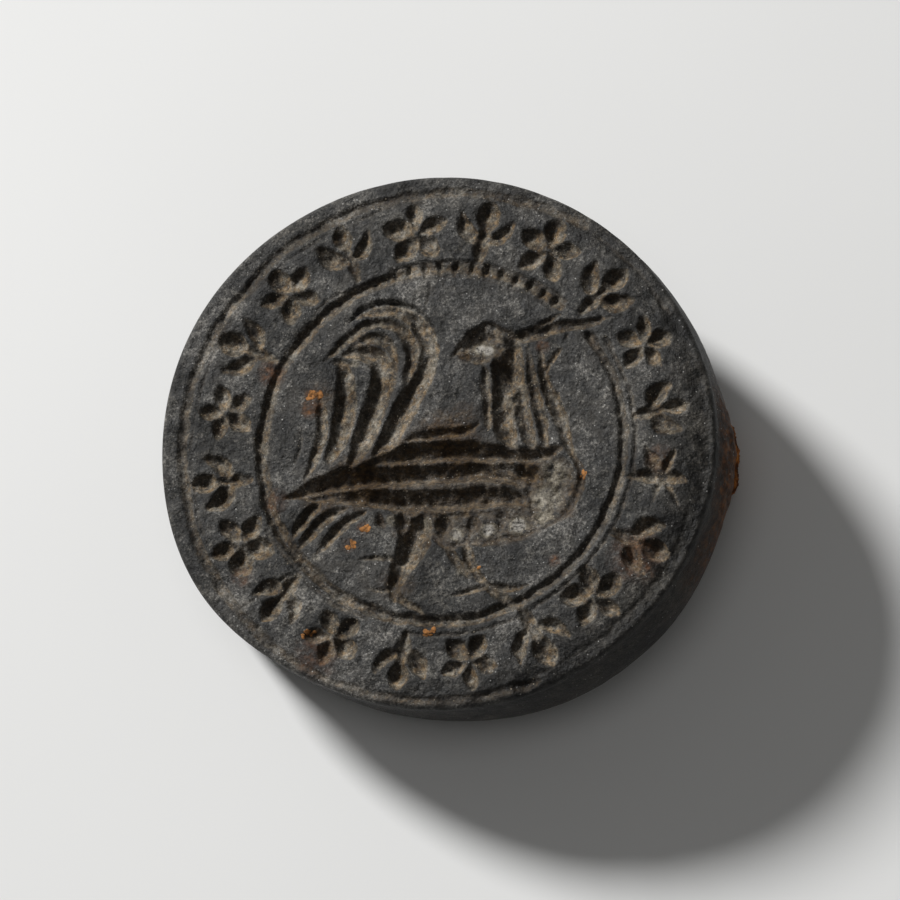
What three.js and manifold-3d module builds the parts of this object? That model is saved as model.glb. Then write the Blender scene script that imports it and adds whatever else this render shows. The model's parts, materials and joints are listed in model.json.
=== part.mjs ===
// Seal matrix: an engraved disc of black stone with an iron suspension loop leaded into its back
// and a loose iron ring in the loop. Millimetres, +Z up.
// The pieces are drawn with the engraved face upwards at z = 0 and the loop towards +X.
// The whole seal is then leant as it lies on a table, on its loop and the far edge of its back.
import * as THREE from 'three';
import { mergeVertices } from 'three/addons/utils/BufferGeometryUtils.js';
import Module from 'manifold-3d';

const wasm = await Module();
wasm.setup();

// Stone disc
const discDiameter = 35;
const discThickness = 7;
const girthDepth = 3.6; // the widest section lies this far below the face
const edgeRounding = 0.45; // worn edge of the face
const backRounding = 1.5; // how far the back draws in from the widest section
const shoulderShare = 0.7; // share of the widest outline in the section above it
const discSides = 72;

// The disc is cut by hand, so its outline leaves a true circle by these amounts, every 30 degrees
const faceDeparture = [-0.4, -0.5, -0.28, 0.05, 0.29, 0.46, 0.28, 0.16, -0.6, -0.65, -0.6, -0.5];
const girthDeparture = [-0.05, -0.16, -0.1, 0.1, 0.25, 0.3, 0.25, -0.05, -0.96, -0.86, -0.22, 0.11];

// Engraving
const rimWidth = 1.1; // plain rim outside the outer ring
const legendWidth = 4.9; // from the outer ring to the inner ring
const outerGrooveWidth = 0.7;
const innerGrooveWidth = 0.8;
const grooveDepthRatio = 0.5; // depth of a cut over its width
const cutterRise = 0.2; // how far each cutter stands above the face
const grooveSides = 72; // flats round a ring groove
const stepsPerMark = 1; // sections of a cut between two of its marks
const hollowRise = 0.6; // a hollow is part of a ball centred this share of its depth above the face
const hollowSides = 18;
const hollowBands = 10;
const pictureTurn = -5; // degrees from the loop's line to the picture's own +X

// Suspension loop: an iron strip folded round an eye, its two tails let into the back
const stripWidth = 4.4;
const stripThickness = 1;
const foldGap = 0.2; // between the two tails
const tailLength = 3.4; // length of tail in the stone
const eyeStandoff = 0.3; // from the top of the eye to the back of the disc
const eyeLean = 1.6; // how far the eye is bent outwards from the tails
const slotEdgeWall = 0.4; // stone between the slot and the rounded edge of the back
const eyeArcSteps = 24;

// Lead run in round the tails
const leadWall = 0.5;
const settingClearance = 0.3; // between the lead and what it touches

// Suspension ring
const ringWireDiameter = 1.2;
const ringRadius = 5.6; // to the middle of the wire
const ringPlay = 0.26; // slack of the wire in the eye
const ringWireSides = 10;
const ringSteps = 40;

// Worked out from the sizes above
const discRadius = discDiameter / 2;
const outerRingRadius = discRadius - rimWidth;
const innerRingRadius = outerRingRadius - legendWidth;
const wireRadius = ringWireDiameter / 2;
const wireBow = ringRadius - Math.sqrt(ringRadius ** 2 - (stripWidth / 2) ** 2);
const eyeHoleRadius = wireRadius + wireBow + ringPlay;
const eyeRadius = eyeHoleRadius + stripThickness;
const tailWidth = 2 * stripThickness + foldGap;
const leadLength = tailWidth + 2 * (settingClearance + leadWall);
const leadBreadth = stripWidth + 2 * (settingClearance + leadWall);
const slotLength = leadLength + 2 * settingClearance;
const slotBreadth = leadBreadth + 2 * settingClearance;
const slotDepth = tailLength + settingClearance;

// The picture is drawn on a field of this radius, and the legend's ornaments on a band of this width
const drawnFieldRadius = 11.5;
const drawnLegendWidth = 4.9;
const drawnDiscRadius = 17.5;

// A solid skin over a row of rings that have as many points each, closed with a fan at both ends
function loft(rings) {
  const count = rings[0].length;
  const points = rings.flat();
  const faces = [];
  for (let r = 0; r < rings.length - 1; r += 1) {
    for (let i = 0; i < count; i += 1) {
      const a = r * count + i;
      const b = r * count + ((i + 1) % count);
      faces.push(a, b, a + count);
      faces.push(b, b + count, a + count);
    }
  }
  const last = (rings.length - 1) * count;
  for (let i = 1; i < count - 1; i += 1) {
    faces.push(0, i + 1, i);
    faces.push(last, last + i, last + i + 1);
  }
  return new THREE.BufferGeometry().setFromPoints(points).setIndex(faces);
}

function solid(geometry) {
  const bare = geometry.clone();
  bare.deleteAttribute('normal');
  bare.deleteAttribute('uv');
  const merged = mergeVertices(bare);
  const vertProperties = new Float32Array(merged.attributes.position.array);
  const triVerts = new Uint32Array(merged.index.array);
  return new wasm.Manifold(new wasm.Mesh({ numProp: 3, vertProperties, triVerts }));
}

function geometryOf(manifold) {
  const mesh = manifold.getMesh();
  const geometry = new THREE.BufferGeometry();
  geometry.setAttribute('position', new THREE.BufferAttribute(mesh.vertProperties, 3));
  geometry.setIndex(new THREE.BufferAttribute(mesh.triVerts, 1));
  return geometry;
}

// Stone disc: the worn face edge, the widest section and the rounded back
function outline(departures, inset, z) {
  const swell = discRadius / drawnDiscRadius;
  const marks = departures.map((departure, i) => {
    const angle = (i / departures.length) * 2 * Math.PI;
    const radius = discRadius + departure * swell - inset;
    return new THREE.Vector3(radius * Math.cos(angle), radius * Math.sin(angle), z);
  });
  const curve = new THREE.CatmullRomCurve3(marks, true);
  const turn = new THREE.Matrix4().makeRotationZ(THREE.MathUtils.degToRad(pictureTurn));
  const ring = [];
  for (let i = 0; i < discSides; i += 1) {
    ring.push(curve.getPoint((i + 0.5) / discSides).applyMatrix4(turn));
  }
  return ring;
}

function mixedOutline(share, z) {
  const upper = outline(faceDeparture, 0, z);
  const lower = outline(girthDeparture, 0, z);
  return upper.map((point, i) => point.lerp(lower[i], share));
}

function discSections() {
  const sections = [];
  const backHeight = discThickness - girthDepth;
  for (const degrees of [90, 60, 30]) {
    const angle = THREE.MathUtils.degToRad(degrees);
    const inset = backRounding * (1 - Math.cos(angle));
    sections.push(outline(girthDeparture, inset, -girthDepth - backHeight * Math.sin(angle)));
  }
  sections.push(outline(girthDeparture, 0, -girthDepth));
  sections.push(mixedOutline(shoulderShare, -(girthDepth + edgeRounding) / 2));
  for (const degrees of [0, 45, 90]) {
    const angle = THREE.MathUtils.degToRad(degrees);
    const inset = edgeRounding * (1 - Math.cos(angle));
    sections.push(outline(faceDeparture, inset, edgeRounding * (Math.sin(angle) - 1)));
  }
  return sections;
}

// A cut of a graver: a V whose width runs through the given points, each x, y and width
function groove(points, steps) {
  const marks = points.map(([x, y, width]) => new THREE.Vector3(x, y, width));
  const curve = new THREE.CatmullRomCurve3(marks, false, 'centripetal');
  const spread = cutterRise / (2 * grooveDepthRatio);
  const rings = [];
  for (let i = 0; i <= steps; i += 1) {
    const at = curve.getPoint(i / steps);
    const along = curve.getTangent(i / steps);
    const half = at.z / 2 + spread;
    const across = new THREE.Vector2(-along.y, along.x).normalize().multiplyScalar(half);
    rings.push([
      new THREE.Vector3(at.x - across.x, at.y - across.y, cutterRise),
      new THREE.Vector3(at.x, at.y, -at.z * grooveDepthRatio),
      new THREE.Vector3(at.x + across.x, at.y + across.y, cutterRise),
    ]);
  }
  return loft(rings);
}

// A groove right round the face
function ringGroove(radius, width) {
  const half = width / 2 + cutterRise / (2 * grooveDepthRatio);
  const section = [
    new THREE.Vector2(radius - half, cutterRise),
    new THREE.Vector2(radius, -width * grooveDepthRatio),
    new THREE.Vector2(radius + half, cutterRise),
    new THREE.Vector2(radius - half, cutterRise),
  ];
  return new THREE.LatheGeometry(section, grooveSides).rotateX(Math.PI / 2);
}

// A shallow hollow that models the bird's body
function hollow({ x, y, length, breadth, depth }) {
  const ball = new THREE.SphereGeometry(1, hollowSides, hollowBands).rotateX(Math.PI / 2);
  ball.scale(length / 2, breadth / 2, depth * (1 + hollowRise));
  return ball.translate(x, y, depth * hollowRise);
}

// The bird: a cock that looks back over its shoulder, cut as strokes of x, y and width
const tailStrokes = [
  [[-5.3, 8.4, 0.3], [-4.2, 8.85, 0.7], [-3.1, 8.85, 0.8], [-2.1, 8.5, 0.8], [-1.45, 7.8, 0.8],
    [-1.05, 6.8, 0.8], [-0.97, 5.8, 0.8], [-1.15, 4.9, 0.9], [-1.65, 4, 1.3], [-2.05, 3.1, 1.4],
    [-2.6, 2, 1.1], [-3.1, 1, 1.1], [-3.6, 0.1, 1], [-4.5, -0.8, 0.5]],
  [[-7.5, 6.1, 0.2], [-6.6, 7, 0.7], [-5.7, 7.75, 0.8], [-4.6, 8.1, 0.7], [-3.5, 8.05, 0.7],
    [-2.7, 7.55, 0.7], [-2.15, 6.7, 0.7], [-1.97, 5.8, 0.7], [-2.05, 4.9, 0.7], [-2.3, 3.9, 0.4]],
  [[-6.2, 6.2, 0.3], [-5.6, 6.6, 0.9], [-4.8, 6.65, 1.1], [-4.1, 6.3, 1.2], [-3.7, 5.6, 1.2],
    [-3.95, 4.7, 1.4], [-4.25, 3.8, 1.4], [-4.5, 2.9, 1.3], [-4.65, 2, 1.2], [-4.95, 1, 1.1],
    [-5.4, 0.1, 1], [-5.8, -0.9, 0.6]],
  [[-6.25, 5.3, 0.8], [-6.3, 4.5, 1.1], [-6.35, 3.7, 1.2], [-6.5, 2.8, 1.2], [-6.6, 1.9, 1],
    [-6.75, 1, 0.9], [-7, 0.1, 0.8], [-7.4, -0.8, 0.5]],
  [[-7.2, 5.6, 0.2], [-6.6, 5.55, 0.5], [-5.9, 5.35, 0.4]],
  [[-8, 3.2, 0.2], [-7.85, 2.2, 0.5], [-7.7, 1.2, 0.6], [-7.8, 0.2, 0.6], [-8.1, -0.8, 0.6],
    [-8.5, -1.7, 0.4]],
];
const wingStrokes = [
  [[-2.4, 0.35, 0.2], [-1.4, 0.7, 0.6], [-0.3, 0.8, 0.7], [0.8, 0.8, 0.7], [1.7, 0.95, 0.5],
    [2.3, 1.4, 0.2]],
  [[-4.4, -1, 0.3], [-3.5, -0.65, 0.7], [-2.4, -0.35, 0.9], [-1, -0.2, 1], [0.6, -0.15, 1],
    [2.2, -0.3, 1], [3.6, -0.6, 0.9], [5, -0.75, 0.9], [6.4, -0.75, 0.7], [7.4, -0.45, 0.3]],
  [[-9.9, -3.15, 0.2], [-8.8, -2.85, 0.8], [-7.5, -2.45, 1.1], [-6, -2, 1.3], [-4.4, -1.8, 1.4],
    [-2.6, -1.75, 1.4], [-0.8, -1.75, 1.4], [1, -1.75, 1.4], [2.8, -1.9, 1.3], [4.2, -2.2, 1],
    [5.5, -2.8, 0.3]],
  [[-8.6, -3.35, 0.3], [-7.2, -3.2, 0.9], [-5.6, -3.2, 1.1], [-3.8, -3.3, 1.2], [-2, -3.45, 1.3],
    [0, -3.5, 1.3], [1.8, -3.5, 1.2], [3.4, -3.55, 1], [4.6, -3.75, 0.7], [5.4, -3.95, 0.2]],
  [[-3, -4.2, 0.2], [-1.6, -4.35, 0.5], [0, -4.4, 0.5], [1.8, -4.4, 0.5], [3, -4.45, 0.2]],
];
const thighStrokes = [
  [[-7.2, -3.4, 0.4], [-7.9, -3.9, 0.8], [-8.5, -4.6, 0.9], [-9, -5.3, 0.6], [-9.3, -5.9, 0.2]],
  [[-5.9, -4, 0.3], [-6.8, -4.35, 0.7], [-7.6, -4.95, 0.9], [-8.3, -5.75, 0.8], [-8.9, -6.6, 0.2]],
  [[-4.7, -4.3, 0.3], [-5.6, -4.7, 0.6], [-6.4, -5.35, 0.8], [-7.1, -6.15, 0.7],
    [-7.8, -6.95, 0.2]],
  [[-4.6, -5.3, 0.2], [-5.3, -5.75, 0.5], [-6, -6.3, 0.2]],
];
const neckStrokes = [
  [[2.55, 5.1, 0.3], [2.6, 4.1, 0.5], [2.65, 3.1, 0.5], [2.75, 2.1, 0.5], [2.9, 1.1, 0.4]],
  [[4.2, 6.9, 0.6], [4.1, 6.1, 1.5], [3.95, 5.1, 1.9], [3.95, 4.2, 1.9], [3.9, 3.2, 1]],
  [[3.55, 4, 0.8], [3.5, 3.2, 1.1], [3.6, 2.2, 1.2], [3.9, 1.2, 1.2], [4.3, 0.3, 0.9],
    [4.5, -0.3, 0.5]],
  [[4.65, 4, 0.8], [4.75, 3.1, 1.2], [4.95, 2.1, 1.2], [5.3, 1.1, 0.95], [5.6, 0.2, 0.8],
    [5.8, -0.5, 0.5]],
  [[5.1, 6, 0.2], [5.15, 5, 0.3], [5.35, 4.1, 0.45], [5.75, 3.1, 0.6], [6.05, 2.1, 0.8],
    [6.3, 1.1, 0.75], [6.5, 0.1, 0.6], [6.6, -0.5, 0.4]],
  [[5.95, 6.2, 0.2], [6, 5.2, 0.35], [6.25, 4.3, 0.6], [6.6, 3.3, 0.8], [7, 2.2, 0.9],
    [7.35, 1.2, 0.8], [7.7, 0.2, 0.6], [8.1, -0.7, 0.5]],
  [[7.3, 6.1, 0.2], [6.85, 5.5, 0.45], [6.45, 4.9, 0.45], [6.25, 4.4, 0.3]],
];
const headStrokes = [
  [[0.3, 6.05, 0.2], [1, 6.15, 0.8], [1.9, 6.4, 1.3]],
  [[0.9, 6.6, 0.3], [1.6, 7.3, 0.6], [2.5, 7.75, 0.6], [3.4, 7.5, 0.7], [4.2, 7, 0.8]],
  [[1.2, 5.6, 0.3], [2, 5.35, 0.5], [2.8, 5.4, 0.4]],
  [[3.9, 6.9, 0.6], [4.7, 6.9, 0.9], [5.6, 7.05, 1], [6.5, 7.3, 0.9], [7.5, 7.45, 0.75],
    [8.6, 7.55, 0.7], [9.6, 7.8, 0.5], [10.5, 8.05, 0.2]],
  [[5.6, 7.3, 0.6], [6.4, 7.75, 0.5], [7.3, 8.25, 0.2]],
];
const legStrokes = [
  [[-1.4, -4.8, 0.9], [-1.8, -5.7, 1.3], [-2.15, -6.7, 1.3], [-2.45, -7.7, 1.15],
    [-2.75, -8.6, 1], [-2.9, -9.4, 0.8], [-2.6, -10, 0.4]],
  [[-2.8, -9.5, 0.4], [-2.2, -10.1, 0.6], [-1.5, -10.6, 0.5], [-0.9, -11.2, 0.2]],
  [[-2.9, -9.2, 0.5], [-3.7, -9.25, 0.45], [-4.6, -9.05, 0.2]],
  [[-5.4, -7.3, 0.2], [-4.6, -7.3, 0.45], [-3.7, -7.3, 0.5], [-2.7, -7.3, 0.5]],
  [[0.1, -6.6, 0.4], [0.8, -7.25, 0.6], [1.5, -7.95, 0.6], [2.2, -8.7, 0.5], [2.8, -9.1, 0.4]],
  [[1.6, -6.5, 0.3], [1.8, -7.3, 0.5], [2.15, -8.1, 0.6], [2.65, -8.8, 0.6], [3.1, -9.15, 0.4]],
  [[1, -9.65, 0.2], [1.8, -9.45, 0.5], [2.6, -9.25, 0.5], [3.2, -9.15, 0.4]],
  [[3, -9.1, 0.3], [3.7, -9.35, 0.5], [4.6, -9.45, 0.45], [5.8, -9.25, 0.2]],
  [[3, -9.3, 0.3], [3.8, -9.85, 0.45], [4.5, -10.35, 0.4], [5, -10.7, 0.2]],
];
const bodyHollows = [
  { x: 0.4, y: -2.2, length: 13, breadth: 5.2, depth: 0.3 },
  { x: 6, y: -2.9, length: 5.6, breadth: 5.8, depth: 0.8 },
  { x: 2.6, y: -5, length: 9.4, breadth: 3.6, depth: 0.45 },
  { x: 2.4, y: 6.5, length: 2.8, breadth: 2.6, depth: 0.6 },
];

// The legend band holds plain ornament: rosettes and three-leaved sprigs by turns, after a star
const legendPlaces = 20;
const starBearing = -8.2; // degrees round the face from the picture's +X
const petal = [[0, 0.3, 0.45], [0, 1.1, 1.3], [0, 1.85, 0.4]];
const starRay = [[0, 0, 0.6], [0, 0.9, 0.5], [0, 1.6, 0.15]];
const sprigStrokes = [
  [[0, -1.8, 0.5], [0, -0.9, 0.85], [0, 0.1, 0.6]],
  [[0, 0.1, 0.5], [0, 1, 1.3], [0, 1.8, 0.4]],
  [[0.2, -0.6, 0.5], [1.05, -0.1, 1.15], [1.6, 0.85, 0.4]],
  [[-0.2, -0.6, 0.5], [-1.05, -0.1, 1.15], [-1.6, 0.85, 0.4]],
];
const ornamentSteps = 3; // sections of each cut of an ornament

// Copies of one stroke turned evenly about the ornament's middle
function whorl(stroke, count) {
  const copies = [];
  for (let i = 0; i < count; i += 1) {
    const angle = (i / count) * 2 * Math.PI;
    const copy = stroke.map(([x, y, width]) => [
      x * Math.cos(angle) - y * Math.sin(angle),
      x * Math.sin(angle) + y * Math.cos(angle),
      width,
    ]);
    copies.push(copy);
  }
  return copies;
}

// An ornament's strokes, drawn upright at the origin, moved to its place in the legend band
function placed(strokes, bearing) {
  const scale = legendWidth / drawnLegendWidth;
  const angle = THREE.MathUtils.degToRad(bearing - 90);
  const middle = (innerRingRadius + outerRingRadius) / 2;
  return strokes.map((stroke) => stroke.map(([x, y, width]) => [
    x * scale * Math.cos(angle) - (middle + y * scale) * Math.sin(angle),
    x * scale * Math.sin(angle) + (middle + y * scale) * Math.cos(angle),
    width * scale,
  ]));
}

function legendStrokes() {
  const strokes = placed(whorl(starRay, 6), starBearing);
  for (let i = 1; i < legendPlaces; i += 1) {
    const bearing = starBearing + (i * 360) / legendPlaces;
    const ornament = i % 2 === 1 ? sprigStrokes : whorl(petal, 5);
    strokes.push(...placed(ornament, bearing));
  }
  return strokes;
}

function engravingCutters() {
  const scale = innerRingRadius / drawnFieldRadius;
  const bird = [tailStrokes, wingStrokes, thighStrokes, neckStrokes, headStrokes, legStrokes].flat();
  const cutters = bird.map((stroke) => {
    const scaled = stroke.map((mark) => mark.map((value) => value * scale));
    return groove(scaled, Math.round((stroke.length - 1) * stepsPerMark));
  });
  bodyHollows.forEach((shape) => {
    cutters.push(hollow(shape).scale(scale, scale, scale));
  });
  legendStrokes().forEach((stroke) => cutters.push(groove(stroke, ornamentSteps)));
  cutters.push(ringGroove(outerRingRadius, outerGrooveWidth));
  cutters.push(ringGroove(innerRingRadius, innerGrooveWidth));
  const turn = THREE.MathUtils.degToRad(pictureTurn);
  return cutters.map((cutter) => cutter.rotateZ(turn));
}

const discOutlines = discSections();
const backOutline = discOutlines[0];
const slotMiddle = Math.max(...backOutline.map((point) => point.x)) - slotEdgeWall - slotLength / 2;
const eyeMiddle = new THREE.Vector3(
  slotMiddle + eyeLean,
  0,
  -discThickness - eyeStandoff - eyeRadius,
);

function matrixBody() {
  const blank = solid(loft(discOutlines));
  const cutters = engravingCutters().map(solid);
  const engraving = cutters.reduce((joined, cutter) => joined.add(cutter));
  const slotHeight = slotDepth + cutterRise;
  const slot = new THREE.BoxGeometry(slotLength, slotBreadth, slotHeight);
  slot.translate(slotMiddle, 0, -discThickness - cutterRise + slotHeight / 2);
  return geometryOf(blank.subtract(engraving).subtract(solid(slot)));
}

// The strip seen from its edge, drawn about the middle of the eye and pushed out to its width
function suspensionLoop() {
  const back = -discThickness - eyeMiddle.z;
  const bend = back - eyeStandoff;
  const top = back + tailLength;
  const outerLeft = -eyeLean - tailWidth / 2;
  const outerRight = -eyeLean + tailWidth / 2;
  const slitLeft = -eyeLean - foldGap / 2;
  const slitRight = -eyeLean + foldGap / 2;
  const neckAngle = Math.atan2(bend, -eyeLean);
  const shoulder = Math.acos(tailWidth / 2 / eyeRadius);
  const slit = Math.asin(foldGap / 2 / eyeHoleRadius);
  const shape = new THREE.Shape();
  shape.moveTo(outerLeft, top);
  shape.lineTo(outerLeft, bend);
  shape.absarc(0, 0, eyeRadius, neckAngle + shoulder, neckAngle - shoulder + 2 * Math.PI, false);
  shape.lineTo(outerRight, bend);
  shape.lineTo(outerRight, top);
  shape.lineTo(slitRight, top);
  shape.lineTo(slitRight, bend);
  shape.absarc(0, 0, eyeHoleRadius, neckAngle - slit, neckAngle + slit - 2 * Math.PI, true);
  shape.lineTo(slitLeft, bend);
  shape.lineTo(slitLeft, top);
  const strip = new THREE.ExtrudeGeometry(shape, {
    depth: stripWidth,
    bevelEnabled: false,
    curveSegments: eyeArcSteps,
  });
  strip.translate(0, 0, -stripWidth / 2).rotateX(Math.PI / 2);
  return strip.translate(eyeMiddle.x, 0, eyeMiddle.z);
}

// A collar of lead, flush with the back
function leadSetting() {
  const outer = new THREE.BoxGeometry(leadLength, leadBreadth, tailLength);
  const hole = new THREE.BoxGeometry(
    tailWidth + 2 * settingClearance,
    stripWidth + 2 * settingClearance,
    tailLength * 2,
  );
  const collar = geometryOf(solid(outer).subtract(solid(hole)));
  return collar.translate(slotMiddle, 0, -discThickness + tailLength / 2);
}

function suspensionRing() {
  return new THREE.TorusGeometry(ringRadius, wireRadius, ringWireSides, ringSteps);
}

const stone = new THREE.MeshStandardMaterial({ color: 0x2f2f31, roughness: 0.55, metalness: 0 });
const rustedIron = new THREE.MeshStandardMaterial({ color: 0x5a3620, roughness: 0.9, metalness: 0.3 });
const lead = new THREE.MeshStandardMaterial({ color: 0x6d7073, roughness: 0.7, metalness: 0.7 });
const darkIron = new THREE.MeshStandardMaterial({ color: 0x43342b, roughness: 0.8, metalness: 0.5 });

function piece(name, geometry, material) {
  const mesh = new THREE.Mesh(geometry, material);
  mesh.name = name;
  return mesh;
}

// The ring hangs in the eye and lies back under the disc, its far side on the table
const lean = leanOnLoop();
const ringFall = Math.asin((eyeRadius - wireRadius) / (2 * ringRadius));
const ringPivot = new THREE.Group();
ringPivot.position.copy(eyeMiddle);
ringPivot.rotation.y = lean - ringFall;
const hangingRing = piece('suspension_ring', suspensionRing(), darkIron);
hangingRing.position.x = -ringRadius;
ringPivot.add(hangingRing);

// The angle at which the eye's underside and the far edge of the back both touch the table
function leanOnLoop() {
  const farEdge = Math.min(...backOutline.map((point) => point.x));
  const run = eyeMiddle.x - farEdge;
  const drop = -discThickness - eyeMiddle.z;
  return Math.atan2(drop, run) + Math.asin(eyeRadius / Math.hypot(run, drop));
}

const seal = new THREE.Group();
seal.add(piece('matrix_body', matrixBody(), stone));
seal.add(piece('suspension_loop', suspensionLoop(), rustedIron));
seal.add(piece('lead_setting', leadSetting(), lead));
seal.add(ringPivot);
seal.rotation.y = -lean;

// The origin is the middle of the underside of the seal's box
const box = new THREE.Box3().setFromObject(seal, true);
const boxMiddle = box.getCenter(new THREE.Vector3());
seal.position.set(-boxMiddle.x, -boxMiddle.y, -box.min.z);

const group = new THREE.Group();
group.add(seal);

export default group;
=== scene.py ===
import json
import math
import random

import bpy
import numpy as np
from mathutils import Matrix, Vector, noise


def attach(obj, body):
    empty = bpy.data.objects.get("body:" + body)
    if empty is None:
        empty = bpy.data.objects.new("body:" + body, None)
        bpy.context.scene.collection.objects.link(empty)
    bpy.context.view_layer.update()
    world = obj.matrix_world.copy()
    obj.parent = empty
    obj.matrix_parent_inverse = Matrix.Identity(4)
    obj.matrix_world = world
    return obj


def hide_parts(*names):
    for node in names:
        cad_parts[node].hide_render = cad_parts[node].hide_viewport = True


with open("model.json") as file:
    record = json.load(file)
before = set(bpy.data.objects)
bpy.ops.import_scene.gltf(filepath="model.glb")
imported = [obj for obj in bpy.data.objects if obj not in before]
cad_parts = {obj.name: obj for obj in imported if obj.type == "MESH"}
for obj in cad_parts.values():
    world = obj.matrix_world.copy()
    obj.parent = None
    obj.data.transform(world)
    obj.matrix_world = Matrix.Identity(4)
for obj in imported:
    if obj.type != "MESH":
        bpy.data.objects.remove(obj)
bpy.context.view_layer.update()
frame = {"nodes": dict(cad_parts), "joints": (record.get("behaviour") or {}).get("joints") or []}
print("frame loaded:", sorted(frame["nodes"]))

mm = 0.001
hinge = np.array(frame["joints"][0]["pos_m"])

# A long lens nearly straight above the engraved face
cameraSet = {
    "aim": (-0.086, -0.754, 9.363),
    "toCamera": (-0.02418, -0.28192, 0.9591),
    "right": (0.99803, -0.06514, 0.00587),
    "distance": 500,
    "lens": 322,
    "sensor": 36,
    "clip": (0.01, 20),
}

lightSet = {
    "keyPlace": (-400, 390, 370),
    "keySize": 140,
    "keyPower": 6.6,
    "fillPlace": (-60, -60, 640),
    "fillSize": 300,
    "fillPower": 0.3,
    "worldColour": (1, 0.99, 0.97, 1),
    "worldStrength": 0.1,
}

# How the seal lies on the table: the picture is turned on the disc, and the disc leans on its loop
restSet = {
    "pictureTurn": -5,
    "lean": 9.0321,
    "eye": (14.9206, 0, -9.6103),
}


def newObject(name, data):
    piece = bpy.data.objects.new(name, data)
    bpy.context.scene.collection.objects.link(piece)
    return piece


def makeCamera():
    right = Vector(cameraSet["right"]).normalized()
    back = Vector(cameraSet["toCamera"]).normalized()
    up = back.cross(right).normalized()
    right = up.cross(back)
    optics = bpy.data.cameras.new("camera")
    optics.lens = cameraSet["lens"]
    optics.sensor_width = cameraSet["sensor"]
    optics.clip_start, optics.clip_end = cameraSet["clip"]
    camera = newObject("camera", optics)
    camera.rotation_mode = "QUATERNION"
    camera.rotation_quaternion = Matrix((right, up, back)).transposed().to_quaternion()
    camera.location = (Vector(cameraSet["aim"]) + back * cameraSet["distance"]) * mm
    bpy.context.scene.camera = camera


# Turns a pair of coordinates about zero and scales it
def spun(a, b, degrees, scale=1.0):
    c = math.cos(math.radians(degrees)) * scale
    s = math.sin(math.radians(degrees)) * scale
    return a * c - b * s, a * s + b * c


def leant(points, turned):
    x, y, z = np.asarray(points, float).T
    x, y = spun(x, y, restSet["pictureTurn"] if turned else 0)
    x, z = spun(x, z, restSet["lean"])
    return mm * np.column_stack([x, y, z])


# Picture millimetres (x right, y up, z out of the face) to metres on the table
def onTable(points, turned=True):
    return leant(points, turned) - leant([restSet["eye"]], False) + hinge


def waver(x, y, z, size, seed):
    return np.array([
        noise.noise(Vector((a / size + seed, b / size - seed, c / size + 2 * seed)))
        for a, b, c in zip(x, y, z)
    ])


# Adds waves to a start; each has a height, a size and a seed
def waves(x, y, z, total, *layers):
    for height, size, seed in layers:
        total = total + height * waver(x, y, z, size, seed)
    return total


def smoothStep(low, high, value):
    t = np.clip((value - low) / (high - low), 0, 1)
    return t * t * (3 - 2 * t)


def meshPiece(name, points, faces):
    mesh = bpy.data.meshes.new(name)
    mesh.from_pydata(np.asarray(points).tolist(), [], faces)
    mesh.polygons.foreach_set("use_smooth", [True] * len(mesh.polygons))
    mesh.update()
    return newObject(name, mesh)


def storeValues(piece, name, values):
    layer = piece.data.attributes.new(name, "FLOAT", "POINT")
    layer.data.foreach_set("value", np.asarray(values, np.float32))


# Triangles between two closed rings that may have different numbers of points
def zipRings(start, count, nextStart, nextCount, faces):
    i = j = 0
    while i < count or j < nextCount:
        a, b = start + i % count, nextStart + j % nextCount
        if i < count and (i + 1) / count <= (j + 1) / nextCount + 1e-9 or j >= nextCount:
            if count > 1:
                faces.append((a, b, start + (i + 1) % count))
            i += 1
        else:
            if nextCount > 1:
                faces.append((a, b, nextStart + (j + 1) % nextCount))
            j += 1


def skinOver(rings):
    faces = []
    start = 0
    for ring, following in zip(rings[:-1], rings[1:]):
        zipRings(start, len(ring), start + len(ring), len(following), faces)
        start += len(ring)
    return np.vstack(rings), faces


# Four-sided faces between rings of one count, also from the last to the first where they close
def tubeFaces(rings, count, closed):
    faces = []
    for i in range(rings if closed else rings - 1):
        for j in range(count):
            near, far = i * count, (i + 1) % rings * count
            faces.append((near + j, near + (j + 1) % count, far + (j + 1) % count, far + j))
    return faces


# The engraving, in picture millimetres; each mark of a cut is x, y and width
birdSet = {
    "spread": 1.1,
    "roundness": 0.5,
    "edgeSoftness": 0.24,
    "steepSide": (-0.72, 0.69),
    "pointSpacing": 0.07,
    "thinnest": 0.08,
    "batch": 4000000,
    "chatter": 0.06,
    "dirtDepth": (0.03, 0.16),
    "wallDepth": (0.03, 0.15),
    "hollowDepth": (0.02, 0.2),
    "hollowRise": 0.6,
    "hollowDirt": 0.3,
    "sharedDepth": 0.6,
}
# Waves that bend the cuts sideways and up, deepen them, roughen their walls and uneven the hollows
engraveWaves = {
    "bendX": [(0.1, 1.1, 3.1), (0.06, 0.42, 9.2), (0.03, 0.19, 1.7)],
    "bendY": [(0.1, 1.1, 7.7), (0.06, 0.42, 5.4), (0.03, 0.19, 8.3)],
    "deepen": [(0.3, 0.75, 4.9)],
    "chatter": [(1, 0.36, 3.6), (0.5, 0.19, 6.6)],
    "hollows": [(0.3, 0.5, 2.9)],
}

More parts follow.
